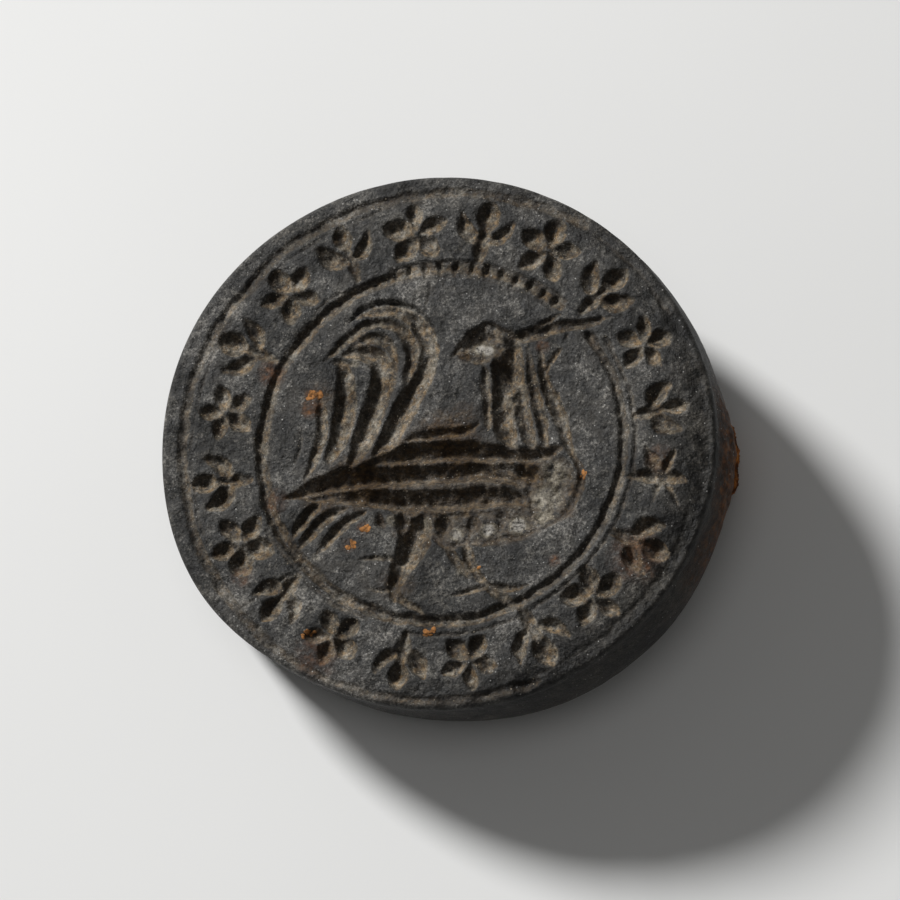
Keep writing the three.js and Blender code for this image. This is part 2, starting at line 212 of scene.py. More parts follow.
tailStrokes = [
    [(-5.6, 8.3, 0.25), (-4.8, 8.68, 0.6), (-3.9, 8.8, 0.78), (-2.9, 8.66, 0.95), (-2.1, 8.25, 1.1),
     (-1.45, 7.55, 1.25), (-1.05, 6.6, 1.35), (-0.95, 5.6, 1.35), (-1.15, 4.7, 1.4), (-1.6, 3.8, 1.5),
     (-2.05, 3, 1.55), (-2.55, 2, 1.5), (-3.05, 1, 1.4), (-3.5, 0.2, 1.2), (-4.2, -0.6, 0.5)],
    [(-7.6, 5.5, 0.2), (-6.7, 6.4, 0.6), (-5.7, 7.3, 0.75), (-4.8, 7.86, 0.8), (-3.9, 8, 0.76),
     (-3, 7.7, 0.8), (-2.35, 7.05, 0.9), (-2.05, 6.3, 0.92), (-2, 5.5, 0.9), (-2.15, 4.7, 0.8),
     (-2.4, 3.9, 0.4)],
    [(-6.2, 6.1, 0.3), (-5.4, 6.72, 0.65), (-4.6, 6.95, 0.8), (-3.9, 6.85, 0.82), (-3.35, 6.3, 0.75),
     (-3.1, 5.5, 0.6), (-3.05, 4.7, 0.3)],
    [(-6.3, 5.9, 0.4), (-5.5, 6.1, 1), (-4.75, 5.95, 1.3), (-4.1, 5.5, 1.4), (-3.85, 4.7, 1.5),
     (-3.95, 3.8, 1.6), (-4.2, 2.8, 1.6), (-4.5, 1.8, 1.6), (-4.85, 0.8, 1.5), (-5.2, -0.2, 1.2),
     (-5.6, -1.1, 0.6)],
    [(-6.5, 5.4, 0.5), (-6.2, 4.6, 1.1), (-6.1, 3.6, 1.35), (-6.15, 2.7, 1.4), (-6.25, 1.8, 1.4),
     (-6.45, 0.8, 1.3), (-6.75, 0, 1.1), (-7.15, -0.9, 0.6)],
    [(-7.2, 5.5, 0.2), (-6.6, 5.45, 0.5), (-5.9, 5.3, 0.4)],
    [(-7.9, 3.4, 0.2), (-7.7, 2.6, 0.6), (-7.58, 1.8, 0.85), (-7.62, 0.8, 0.8), (-7.85, -0.2, 0.7),
     (-8.15, -1.1, 0.6), (-8.55, -2, 0.3)],
]
wingStrokes = [
    [(-2.4, 0.3, 0.2), (-1.5, 0.62, 0.6), (-0.3, 0.75, 0.7), (0.8, 0.75, 0.7), (1.7, 0.9, 0.5),
     (2.3, 1.3, 0.2)],
    [(-4.6, -1.1, 0.3), (-3.6, -0.8, 0.9), (-2.4, -0.55, 1.25), (-1, -0.45, 1.4), (0.6, -0.45, 1.4),
     (2.2, -0.5, 1.35), (3.6, -0.62, 1.2), (5, -0.7, 1.05), (6.4, -0.6, 0.85), (7.5, -0.3, 0.3)],
    [(-9.9, -3.3, 0.2), (-8.8, -2.9, 0.8), (-7.5, -2.4, 1.2), (-6, -2, 1.5), (-4.4, -1.85, 1.55),
     (-2.6, -1.85, 1.5), (-0.8, -1.8, 1.4), (1, -1.65, 1.45), (2.8, -1.65, 1.5), (4.1, -1.95, 1.3),
     (5.3, -2.65, 0.4)],
    [(2.2, -1.35, 0.5), (3.6, -1.35, 1.1), (4.9, -1.6, 1.4), (5.7, -2, 1), (6.1, -2.6, 0.4)],
    [(-8.6, -3.35, 0.3), (-7.2, -3.15, 0.9), (-5.6, -3.2, 1.2), (-3.8, -3.35, 1.4), (-2, -3.5, 1.5),
     (0, -3.5, 1.5), (1.8, -3.4, 1.5), (3.4, -3.35, 1.35), (4.6, -3.45, 1), (5.5, -3.8, 0.3)],
    [(-3, -4.25, 0.2), (-1.6, -4.4, 0.45), (0, -4.4, 0.45), (1.8, -4.35, 0.45), (3, -4.3, 0.2)],
]
thighStrokes = [
    [(-7.2, -3.4, 0.4), (-7.9, -3.9, 0.8), (-8.5, -4.6, 0.9), (-9, -5.3, 0.6), (-9.3, -5.9, 0.2)],
    [(-5.9, -4, 0.3), (-6.8, -4.35, 0.7), (-7.6, -4.95, 0.9), (-8.3, -5.75, 0.8), (-8.9, -6.6, 0.2)],
    [(-4.7, -4.3, 0.3), (-5.6, -4.7, 0.6), (-6.4, -5.35, 0.8), (-7.1, -6.15, 0.7),
     (-7.8, -6.95, 0.2)],
]
neckStrokes = [
    [(2.5, 5.1, 0.3), (2.6, 4.1, 0.6), (2.65, 3.1, 0.62), (2.75, 2.1, 0.6), (2.9, 1.1, 0.4)],
    [(4.2, 6.9, 0.6), (4.1, 6.1, 1.6), (4, 5.1, 2), (4, 4.2, 2), (3.95, 3.3, 1)],
    [(3.6, 4, 0.9), (3.6, 3.2, 1.35), (3.7, 2.2, 1.5), (3.85, 1.2, 1.45), (4.15, 0.3, 1.1),
     (4.45, -0.3, 0.5)],
    [(4.65, 4, 0.8), (4.75, 3.1, 1.2), (4.95, 2.1, 1.1), (5.2, 1.1, 1), (5.5, 0.2, 0.85),
     (5.7, -0.5, 0.5)],
    [(5.3, 6.2, 0.2), (5.35, 5.2, 0.5), (5.5, 4.1, 0.75), (5.75, 3.1, 0.85), (6, 2.1, 0.85),
     (6.25, 1.1, 0.75), (6.45, 0.1, 0.6), (6.6, -0.5, 0.4)],
    [(6.1, 6.2, 0.2), (6.1, 5.2, 0.45), (6.3, 4.1, 0.75), (6.7, 3.1, 0.9), (7.1, 2.1, 1),
     (7.5, 1.1, 0.85), (7.8, 0.2, 0.7), (8.2, -0.8, 0.5)],
    [(7.3, 6.1, 0.2), (6.85, 5.5, 0.45), (6.45, 4.9, 0.45), (6.25, 4.4, 0.3)],
]
headStrokes = [
    [(0.9, 5.95, 0.3), (1.5, 6.35, 0.7), (2.2, 6.9, 0.7), (3.1, 6.95, 0.6), (3.6, 6.6, 0.4)],
    [(0.5, 5.75, 0.3), (1.1, 6.35, 0.6), (1.9, 7.15, 0.68), (2.6, 7.68, 0.62), (3.4, 7.3, 0.7),
     (4.2, 6.9, 0.8)],
    [(1.2, 5.6, 0.3), (2, 5.35, 0.5), (2.8, 5.4, 0.4)],
    [(3.9, 6.9, 0.6), (4.7, 6.9, 0.9), (5.6, 7.05, 1), (6.5, 7.3, 0.9), (7.5, 7.45, 0.75),
     (8.6, 7.55, 0.7), (9.6, 7.8, 0.5), (10.5, 8.05, 0.2)],
    [(5.6, 7.3, 0.6), (6.4, 7.75, 0.5), (7.3, 8.25, 0.2)],
]
legStrokes = [
    [(-1.2, -4.9, 1.2), (-1.45, -5.7, 1.9), (-1.7, -6.5, 2), (-2.15, -7.4, 1.6), (-2.5, -8.3, 1.25),
     (-2.8, -9.1, 0.95), (-2.7, -9.9, 0.4)],
    [(-2.8, -9.4, 0.4), (-2.2, -10, 0.6), (-1.4, -10.5, 0.5), (-0.8, -11, 0.2)],
    [(-2.9, -9.3, 0.4), (-3.7, -9.3, 0.35), (-4.6, -9.1, 0.2)],
    [(-5.2, -7.3, 0.15), (-4.5, -7.3, 0.36), (-3.7, -7.3, 0.4), (-2.9, -7.35, 0.4)],
    [(0.5, -6.7, 0.5), (0.95, -7.3, 0.68), (1.45, -7.95, 0.62), (1.9, -8.55, 0.35)],
    [(1.65, -6.5, 0.5), (1.8, -7.3, 0.7), (2.1, -8, 0.7), (2.5, -8.6, 0.62), (3, -9.05, 0.5)],
    [(0.9, -9.7, 0.2), (1.7, -9.5, 0.48), (2.5, -9.3, 0.5), (3.1, -9.1, 0.4)],
    [(2.9, -9.05, 0.4), (3.7, -9.25, 0.6), (4.6, -9.3, 0.55), (5.6, -9.15, 0.2)],
    [(3, -9.2, 0.5), (3.6, -9.65, 0.68), (4.3, -10.1, 0.66), (4.95, -10.6, 0.3)],
]
# The cells of the belly, and the near edge of the breast
bellyStrokes = [
    [(-4, -4.3, 0.2), (-3.8, -4.8, 0.6), (-3.5, -5.3, 0.2)],
    [(-2.5, -4.4, 0.5), (-2.4, -5, 1.1), (-2.3, -5.8, 0.6)],
    [(0.15, -4.5, 0.6), (0.2, -5.1, 1.2), (0.1, -5.8, 0.6)],
    [(2.1, -4.5, 0.5), (2.05, -5, 1), (1.9, -5.6, 0.45)],
    [(3.8, -4.4, 0.4), (3.75, -4.9, 0.7), (3.65, -5.6, 0.4)],
    [(-0.4, -6, 0.3), (0.5, -6.45, 0.55), (1.5, -6.3, 0.4)],
    [(1.7, -6.15, 0.3), (2.7, -6.3, 0.5), (3.8, -6.05, 0.3)],
    [(3.9, -5.95, 0.3), (4.8, -6, 0.45), (5.8, -5.6, 0.3)],
    [(5.7, -1.6, 0.4), (5.5, -2.6, 0.7), (5.6, -3.7, 0.6), (6, -4.9, 0.3)],
    [(8.15, -0.8, 0.3), (8.65, -1.8, 0.6), (8.55, -3.1, 0.7), (7.8, -4.5, 0.6), (6.5, -5.5, 0.3)],
]
# Fine cuts: eye, comb, breast feathers and scratches
fineStrokes = [
    [(1.9, 6.95, 0.16), (2.4, 6.85, 0.3), (2.9, 6.6, 0.16)],
    [(7.6, 6.6, 0.2), (7.7, 6.9, 0.3), (7.8, 7.1, 0.2)],
    [(9.3, 6.6, 0.3), (9.1, 6.85, 0.45), (8.9, 7, 0.3)],
    [(-1.2, 8.6, 0.2), (-1.15, 9.3, 0.22), (-1, 10, 0.2), (-0.9, 10.7, 0.14)],
    [(-8.8, -7.9, 0.3), (-10.4, -8.9, 0.34), (-12.5, -10.3, 0.2)],
    [(-8.95, 1.6, 0.15), (-8.85, 0.6, 0.26), (-9.1, -0.5, 0.3), (-9.4, -1.3, 0.15)],
    [(-3, 6, 0.15), (-2.95, 5, 0.3), (-3.2, 3.9, 0.34), (-3.5, 2.8, 0.3), (-3.9, 1.7, 0.15)],
    [(-5.4, 3.4, 0.15), (-5.5, 2.5, 0.26), (-5.65, 1.5, 0.26), (-5.9, 0.6, 0.15)],
    [(4.2, -4.9, 0.1), (4.8, -4.8, 0.25), (5.5, -4.8, 0.1)],
    [(4.2, -5.2, 0.1), (4.8, -5.1, 0.25), (5.5, -5.05, 0.1)],
    [(4.2, -5.5, 0.1), (4.8, -5.42, 0.25), (5.5, -5.35, 0.1)],
    [(2.4, -5.2, 0.1), (2.9, -5.1, 0.24), (3.5, -5.15, 0.1)],
    [(2.4, -5.5, 0.1), (2.9, -5.4, 0.24), (3.5, -5.45, 0.1)],
    [(2.4, -5.8, 0.1), (2.9, -5.7, 0.24), (3.5, -5.75, 0.1)],
    [(-3.5, -4.5, 0.1), (-3.1, -4.45, 0.18), (-2.7, -4.5, 0.1)],
    [(-3.4, -4.8, 0.1), (-3.1, -4.75, 0.18), (-2.7, -4.8, 0.1)],
    [(-0.9, -4.9, 0.1), (-1.2, -5.1, 0.2), (-1.6, -5.2, 0.1)],
    [(3.3, -0.9, 0.1), (4.4, -1.3, 0.22), (5.2, -2.2, 0.1)],
    [(-6.5, -2.7, 0.1), (-3.5, -2.55, 0.26), (0.5, -2.6, 0.26), (3.5, -2.8, 0.22), (4.9, -3.1, 0.1)],
    [(-4.9, -1.2, 0.1), (-2.5, -0.95, 0.26), (0.8, -0.95, 0.26), (3.6, -1.2, 0.1)],
]
# The sharp edge outside the tail's top feather
edgeStrokes = [
    [(-6.2, 8, 0.2), (-5.4, 8.75, 0.42), (-4.5, 9.16, 0.54), (-3.6, 9.28, 0.56), (-2.6, 9.08, 0.52),
     (-1.7, 8.68, 0.46), (-0.95, 7.8, 0.38), (-0.55, 6.66, 0.3), (-0.45, 5.8, 0.26), (-0.55, 4.7, 0.14)],
]
# Long shallow hollows that model the body: x, y, length, breadth, depth
bodyHollows = [
    (0.4, -2.2, 13, 5.2, 0.3),
    (6, -2.9, 5.6, 5.8, 0.8),
    (2.6, -5, 9.4, 3.6, 0.45),
    (2.4, 6.5, 2.8, 2.6, 0.6),
]

ringSet = {
    "inner": 11.38,
    "outer": 16.4,
    "markStep": 3,
    "drift": (3, 11, 0.6),
    "widening": (5, 16, 0.7),
    "swell": 2.2,
    "brown": 0.1,
    "lean": 0.4,
}
# Arcs of the two rings: the ring, how far outside it, width, first and last degree, wander, seed,
# depth over width, dirt
ringArcs = [
    ("inner", 0, 0.85, 108, 298, 0.1, 2, 0.5, 0.65),
    ("inner", 0, 0.85, 50, 108, 0.1, 2, 0.22, 0.9),
    ("inner", 0.46, 0.3, 50, 108, 0.1, 2, 0.7, 0.3),
    ("inner", -0.46, 0.24, 50, 108, 0.1, 2, 0.5, 0.3),
    ("inner", 0, 0.663, -65, 37, 0.08, 2, 0.46, 0.45),
    ("inner", 0.72, 0.34, -60, 33, 0.1, 4, 0.5, 0.3),
    ("inner", 0.85, 0.3, 262, 298, 0.1, 12, 0.5, 0.3),
    ("inner", 0.6, 0.36, 206, 250, 0.2, 5, 0.4, 0.4),
    ("inner", -0.45, 0.26, 150, 196, 0.2, 7, 0.4, 0.4),
    ("inner", 0.5, 0.3, 118, 150, 0.2, 9, 0.4, 0.4),
    ("inner", -0.4, 0.24, 250, 285, 0.2, 10, 0.4, 0.3),
    ("outer", 0, 0.7, 58, 292, 0.14, 6, 0.42, 0.4),
    ("outer", 0, 0.42, 30, 58, 0.2, 6.5, 0.3, 0.3),
    ("outer", -0.3, 0.35, -68, -18, 0.2, 6.5, 0.26, 0.2),
    ("outer", -0.55, 0.3, 95, 200, 0.2, 8, 0.32, 0.3),
]
# Notches at the top of the inner ring: degrees, reach to each side of the ring, share of the way
# inwards and width of each mark
punchSet = {
    "from": 53,
    "to": 107,
    "pitch": 4.85,
    "reach": 0.42,
    "marks": ((0, 0.372), (0.35, 0.62), (1, 0.124)),
}

# The legend band: a star, then sprigs and rosettes by turns, each a little off its place
ornamentSet = {
    "places": 20,
    "starBearing": -9.6,
    "middle": 13.95,
    "shift": 0.12,
    "turn": 8,
    "growth": 0.08,
    "unevenness": 0.2,
    "petals": 5,
    "seed": 11,
}
petal = [(0, 0.3, 0.45), (0, 1.1, 1.3), (0, 1.85, 0.4)]
starRays = [
    [(0, 0, 1), (-0.9, 0.05, 0.85), (-2.2, -0.05, 0.15)],
    [(0, 0, 0.9), (-0.5, 0.9, 0.8), (-1, 1.8, 0.15)],
    [(0, 0, 0.9), (0.45, 0.9, 0.8), (0.8, 1.8, 0.15)],
    [(0, 0, 1), (0.8, -0.1, 0.8), (1.6, -0.3, 0.15)],
    [(0, 0, 0.6), (0.6, -0.9, 0.42), (1.3, -2.1, 0.12)],
    [(0, 0, 0.5), (-0.3, -0.8, 0.34), (-0.55, -1.7, 0.12)],
]
sprigStrokes = [
    [(0, -1.8, 0.5), (0, -0.9, 0.85), (0, 0.1, 0.6)],
    [(0, 0.1, 0.5), (0, 1, 1.3), (0, 1.8, 0.4)],
    [(0.2, -0.6, 0.5), (1.05, -0.1, 1.15), (1.6, 0.85, 0.4)],
    [(-0.2, -0.6, 0.5), (-1.05, -0.1, 1.15), (-1.6, 0.85, 0.4)],
]


# A smooth curve from b to c, between a and d
def curved(a, b, c, d, t):
    return 0.5 * (2 * b + (c - a) * t + (2 * a - 5 * b + 4 * c - d) * t ** 2
                  + (3 * b - a - 3 * c + d) * t ** 3)


# A smooth run of points through a stroke's marks
def smoothRun(marks):
    points = np.array(marks, float)
    ends = np.vstack([2 * points[0] - points[1], points, 2 * points[-1] - points[-2]])
    runs = []
    for i in range(len(points) - 1):
        a, b, c, d = ends[i:i + 4]
        steps = max(2, int(math.hypot(c[0] - b[0], c[1] - b[1]) / birdSet["pointSpacing"]))
        t = np.linspace(0, 1, steps, endpoint=False)[:, None]
        runs.append(curved(a, b, c, d, t))
    runs.append(points[-1:])
    run = np.vstack(runs)
    run[:, 2] = np.maximum(run[:, 2], birdSet["thinnest"])
    return run


def arcRun(radius, width, start, end, wander, seed):
    slow, quick, share = ringSet["drift"]
    wide, narrow, part = ringSet["widening"]
    marks = []
    for degrees in np.arange(start, end + 0.1, ringSet["markStep"]):
        c, s = math.cos(math.radians(degrees)), math.sin(math.radians(degrees))
        drift = noise.noise(Vector((slow * c + seed, slow * s, seed)))
        drift += share * noise.noise(Vector((quick * c, quick * s, seed)))
        swell = noise.noise(Vector((seed, wide * c, wide * s)))
        swell += part * noise.noise(Vector((narrow * c, seed, narrow * s)))
        r = radius + wander * drift
        marks.append((r * c, r * s, width * (1 + ringSet["swell"] * wander * swell)))
    return smoothRun(marks)


# How deep a run of marks cuts each point of the face that it reaches
def cutDepth(x, y, run, ratio, lean):
    half = run[:, 2] / 2 * birdSet["spread"]
    low = run[:, :2].min(0) - half.max()
    high = run[:, :2].max(0) + half.max()
    near = np.nonzero((x > low[0]) & (x < high[0]) & (y > low[1]) & (y < high[1]))[0]
    found = np.zeros(len(near))
    tipX = lean * half * birdSet["steepSide"][0]
    tipY = lean * half * birdSet["steepSide"][1]
    batches = max(1, len(near) * len(run) // birdSet["batch"])
    for part in np.array_split(np.arange(len(near)), batches):
        who = near[part]
        dx = x[who][:, None] - run[:, 0]
        dy = y[who][:, None] - run[:, 1]
        if lean:
            dx, dy = dx - tipX, dy - tipY
            square = dx * dx + dy * dy + 1e-9
            along = dx * tipX + dy * tipY
            root = along * along - square * (tipX * tipX + tipY * tipY - half * half)
            share = np.clip(square / (np.sqrt(np.maximum(root, 0)) - along), 0, 1)
        else:
            share = np.clip(np.hypot(dx, dy) / half, 0, 1)
        lip = smoothStep(1, 1 - birdSet["edgeSoftness"], share)
        wall = (1 - share) * (1 + birdSet["roundness"] * share)
        found[part] = (wall * lip * run[:, 2] * ratio).max(1)
    return near, found


def placed(strokes, degrees, scale=1.0, at=(0, 0)):
    moved = []
    for stroke in strokes:
        marks = []
        for x, y, width in stroke:
            x, y = spun(x, y, degrees, scale)
            marks.append((x + at[0], y + at[1], width * scale))
        moved.append(marks)
    return moved


def legendStrokes():
    chance = random.Random(ornamentSet["seed"])
    places, petals, off = ornamentSet["places"], ornamentSet["petals"], ornamentSet["shift"]
    strokes = []
    for i in range(places):
        bearing = ornamentSet["starBearing"] + i * 360 / places
        if i == 0:
            ornament = placed(starRays, 90 - bearing)
        elif i % 2 == 1:
            ornament = sprigStrokes
        else:
            ornament = [placed([petal], k * 360 / petals)[0] for k in range(petals)]
        x, y = spun(ornamentSet["middle"], 0, bearing)
        at = (x + chance.uniform(-off, off), y + chance.uniform(-off, off))
        scale = 1 + chance.uniform(-1, 1) * ornamentSet["growth"]
        lean = chance.uniform(-1, 1) * ornamentSet["turn"]
        for stroke in placed(ornament, bearing - 90 + lean, scale, at):
            swell = 1 + chance.uniform(-1, 1) * ornamentSet["unevenness"]
            strokes.append([(px, py, width * swell) for px, py, width in stroke])
    return strokes


def punchStrokes():
    strokes = []
    for degrees in np.arange(punchSet["from"], punchSet["to"], punchSet["pitch"]):
        marks = []
        for share, width in punchSet["marks"]:
            out = punchSet["reach"] * (1 - share) - punchSet["reach"] * share
            marks.append((*spun(ringSet["inner"] + out, 0, degrees), width))
        strokes.append(marks)
    return strokes


# Strokes, depth over width, dirt left in them, brown stain, lean towards the steep side
cutGroups = [
    (tailStrokes, 0.44, 0.94, 0.1, 0.3),
    (wingStrokes, 0.68, 0.75, 0.55, -0.3),
    (thighStrokes, 0.5, 0.9, 0.1, 0.2),
    (neckStrokes, 0.56, 0.9, 0.15, -0.15),
    (headStrokes, 0.5, 0.7, 0.2, 0.1),
    (legStrokes, 0.47, 0.85, 0.2, 0.2),
    (bellyStrokes, 0.6, 0.2, 0.5, 0),
    (fineStrokes, 0.5, 0.3, 0, 0),
    (legendStrokes(), 0.48, 1, 0.1, 0.2),
    (punchStrokes(), 0.85, 0.5, 0, 0),
    (edgeStrokes, 0.85, 0.1, 0, 0),
]


def allCuts():
    cuts = []
    for strokes, *finish in cutGroups:
        cuts += [(smoothRun(marks), *finish) for marks in strokes]
    for ring, out, width, start, end, wander, seed, ratio, dirt in ringArcs:
        run = arcRun(ringSet[ring] + out, width, start, end, wander, seed)
        cuts.append((run, ratio, dirt, ringSet["brown"], ringSet["lean"]))
    return cuts


# Dirt and rust on the face: x, y, radius, strength
stainSpots = [
    (5.3, -1.7, 1.2, 0.9), (8.2, -3.2, 0.7, 0.8), (7.9, -4.4, 0.7, 0.7), (-0.1, 0.6, 1.8, 1),
    (-7.9, 3.2, 1.3, 0.5), (1.2, 0.8, 1.2, 0.9), (0.3, -0.4, 2.6, 0.9), (-2, -0.3, 1.4, 0.8),
    (-5.3, -2.3, 2.2, 1), (-3, -1.6, 2.4, 0.75), (2, -3.1, 1.4, 0.3), (1.3, 1.7, 1.2, 0.5),
    (-8.3, 2.5, 0.8, 0.5), (-7.5, -3, 1.6, 0.8), (4, 5.5, 0.9, 0.4), (3, -1.6, 2, 0.35),
    (-5, 6.3, 1, 0.4), (1.3, 5.75, 0.55, 0.9), (-2, -5.4, 1.2, 0.6), (-2.7, -8.9, 1.3, 0.5),
]
rustSpots = [
    (-8.35, 3.4, 0.5, 0.8), (-8.3, 2.6, 0.8, 0.6), (7.2, -7.6, 0.45, 0.6), (6.2, 6.2, 0.5, 0.4),
    (-7.6, -13.4, 1.6, 0.35), (-12.4, -8.2, 0.8, 0.35), (12.2, -7.4, 1.8, 0.5), (13.6, -1.2, 1, 0.35),
    (-4.9, -5.3, 0.5, 0.5), (-5.7, -6.4, 0.5, 0.4), (-10.9, 4.8, 1, 0.5), (-10.4, -3.4, 0.9, 0.4),
]
paleSpots = [
    (-7, -0.5, 0.3, 0.5), (-5.6, 5.4, 0.35, 0.4), (-5.75, 3.9, 0.3, 0.4), (6.2, 6.2, 0.3, 0.2),
    (1.3, -8.2, 0.3, 0.3), (-7.8, -7.1, 0.3, 0.3), (2.2, 6.28, 0.45, 1), (2.7, 6.15, 0.5, 1),
    (2.95, -5.45, 0.58, 1), (4.85, -5.2, 0.68, 1), (6.5, -3.3, 1.1, 0.6), (7, -2, 1, 0.45),
    (1, -5.75, 0.5, 0.8), (-3.1, -4.8, 0.45, 0.5), (-0.9, -4.9, 0.45, 0.5), (6.4, -4.6, 0.75, 0.5),
]
fleckSpots = [
    (-8.45, 3.3, 0.22, 1), (-8.2, 3.36, 0.26, 1), (-7.95, 3.42, 0.2, 1), (-5.1, -5.45, 0.15, 0.9),
    (-4.8, -5.33, 0.2, 0.9), (-4.5, -5.25, 0.15, 0.9), (-5.7, -6.42, 0.13, 0.9), (-5.45, -6.3, 0.13, 0.9),
    (2.4, -7.6, 0.13, 1), (2.45, -7.88, 0.13, 1), (8.75, -2.15, 0.13, 0.9), (8.95, -2.05, 0.13, 0.9),
    (-0.8, -12.16, 0.12, 1), (-0.57, -12.02, 0.13, 1), (-0.32, -11.87, 0.12, 1), (2.44, -7.74, 0.12, 1),
    (-8.4, -12.08, 0.13, 1), (-8.14, -11.95, 0.15, 1), (-7.9, -11.85, 0.12, 1),
]

# Full up to the first share of a spot's radius, gone at the second
spotEdge = (0.35, 1.15)


def spotted(x, y, spots):
    total = np.zeros(len(x))
    for cx, cy, radius, strength in spots:
        away = np.hypot(x - cx, y - cy) / radius
        total = np.maximum(total, strength * (1 - smoothStep(*spotEdge, away)))
    return total


def hollowDepth(x, y):
    rise = birdSet["hollowRise"]
    hollows = np.zeros(len(x))
    for cx, cy, length, breadth, depth in bodyHollows:
        away = ((x - cx) / (length / 2)) ** 2 + ((y - cy) / (breadth / 2)) ** 2
        ball = depth * (1 + rise) * np.sqrt(np.clip(1 - away, 0, 1)) - depth * rise
        hollows = np.maximum(hollows, ball)
    return hollows


def engrave(x, y):
    still = np.zeros(len(x))

    def layered(name, total=0.0):
        return waves(x, y, still, total, *engraveWaves[name])

    bentX, bentY = layered("bendX", x), layered("bendY", y)
    cuts, soilAndLitSide = np.zeros(len(x)), np.zeros(len(x))
    stain = spotted(x, y, stainSpots)
    for run, ratio, dirt, brown, lean in allCuts():
        who, found = cutDepth(bentX, bentY, run, ratio, lean)
        cuts[who] = np.maximum(cuts[who], found)
        inCut = smoothStep(*birdSet["dirtDepth"], found)
        soilAndLitSide[who] = np.maximum(soilAndLitSide[who], dirt * inCut)
        stain[who] = np.maximum(stain[who], brown * inCut)
    cuts = cuts * layered("deepen", 1)
    walls = smoothStep(*birdSet["wallDepth"], cuts)
    cuts = cuts + walls * birdSet["chatter"] * layered("chatter")
    hollows = hollowDepth(bentX, bentY)
    inHollow = smoothStep(*birdSet["hollowDepth"], hollows)
    soilAndLitSide = np.maximum(soilAndLitSide, birdSet["hollowDirt"] * inHollow)
    stain = np.maximum(stain, birdSet["hollowDirt"] * inHollow)
    hollows = hollows * layered("hollows", 1)
    depth = np.maximum(cuts, hollows) + birdSet["sharedDepth"] * np.minimum(cuts, hollows)
    return depth, soilAndLitSide, stain


# The disc: rings of points from the middle of the face out, down the side and in under the back
stoneSet = {
    "radius": 17.5,
    "thickness": 7.0,
    "girthDepth": 3.6,
    "edgeRounding": 0.45,
    "backRounding": 1.5,
    "swell": 1.74,
    "faceDeparture": (-0.4, -0.5, -0.28, 0.05, 0.29, 0.46, 0.28, 0.16, -0.6, -0.65, -0.6, -0.5),
    "girthDeparture": (-0.05, -0.16, -0.1, 0.1, 0.25, 0.3, 0.25, -0.05, -0.96, -0.86, -0.22, 0.11),
    "faceRings": 150,
    "edgeTurns": (72, 54, 36, 18, 0),
    "sidePoints": 450,
    "sideBands": 11,
    "backRoundBands": 10,
    "backPoints": 300,
    "backBands": 20,
    "slotMiddle": (13.3206, 0),
    "slotHalf": (2.2, 3.3),
    "slotDepth": 3.7,
    "slotWalls": (0.33, 0.66, 1),
    "slotFloor": (0.7, 0.35),
}
# The ground's grain, wear of the rim, most at the right, and the loop's rust grown over the side
wearSet = {
    "pitDepth": 0.13,
    "grainDepth": 0.036,
    "from": 17.1,
    "edgeBreadth": 1.6,
    "slopeBreadth": 3.4,
    "bearing": -12,
    "depth": 0.6,
    "edgeWear": (0.05, 0.1, 0.4),
    "cutsLost": 0.6,
    "sideFade": -3.4,
    "rubbed": (0.05, 0.05, 0.02),
    "rustBearing": -1,
    "rustSpread": 12,
    "rustTop": (-0.6, -3.4),
    "rustFoot": (-7, -5.6),
    "rustSwell": 0.4,
    "rustLumps": (0.6, 0.5),
    "secondRust": (0.5, 16),
    "rustCover": (1.15, 0.5),
    "backFrom": -6.95,
    "backMarks": 0.02,
    # Which way the key light comes from, and how the dirt in the cuts thins on walls facing away from it:
    # painted light, with paler walls towards the lamp and darker ones away
    "keyLightSide": (-0.65, 0.7, 0.0),
    "soilLitRange": (-0.25, 0.3),
    "soilOnShadedWalls": 0.25,
}
# Waves of the stone, each after its start
stoneWaves = {
    "sag": (0.03, (0.03, 4.5, 1.3), (0.02, 1.1, 2.2)),
    "pits": (-0.25, (1, 0.42, 6.1)),
    "coarse": (0, (1, 0.7, 4.4), (0.5, 0.33, 14.4)),
    "chips": (0.05, (1, 1.4, 12.5)),
    "rough": (0, (1, 2.6, 8.8)),
    "fine": (0, (1, 0.6, 1.9)),
}


def around(count):
    return np.arange(count) / count * 2 * math.pi


def ringAt(angle, radius, z):
    return np.column_stack([radius * np.cos(angle), radius * np.sin(angle), np.full(len(angle), z)])


# How far the outline leaves its circle, smoothly between the values
def departure(name, angle):
    values = stoneSet[name]
    at = (np.asarray(angle) / (2 * math.pi) * len(values)) % len(values)
    i = np.floor(at).astype(int)
    t = at - i
    return curved(*(np.take(values, i + k, mode="wrap") for k in (-1, 0, 1, 2)), t)


# A ring of the outline, a share of the way from the face's to the girth's
def stoneRing(count, share, inset, z):
    angle = around(count)
    out = departure("faceDeparture", angle) * (1 - share) + departure("girthDeparture", angle) * share
    return ringAt(angle, stoneSet["radius"] + out - inset, z)


# A ring of the slot, drawn on the disc's own axes and then turned back to the picture's
def slotRing(count, z, scale=1.0):
    angle = around(count)
    hx, hy = stoneSet["slotHalf"]
    reachX = hx / np.maximum(abs(np.cos(angle)), 1e-9)
    reachY = hy / np.maximum(abs(np.sin(angle)), 1e-9)
    points = ringAt(angle, np.minimum(reachX, reachY) * scale, z) + (*stoneSet["slotMiddle"], 0)
    points[:, 0], points[:, 1] = spun(points[:, 0], points[:, 1], -restSet["pictureTurn"])
    return points


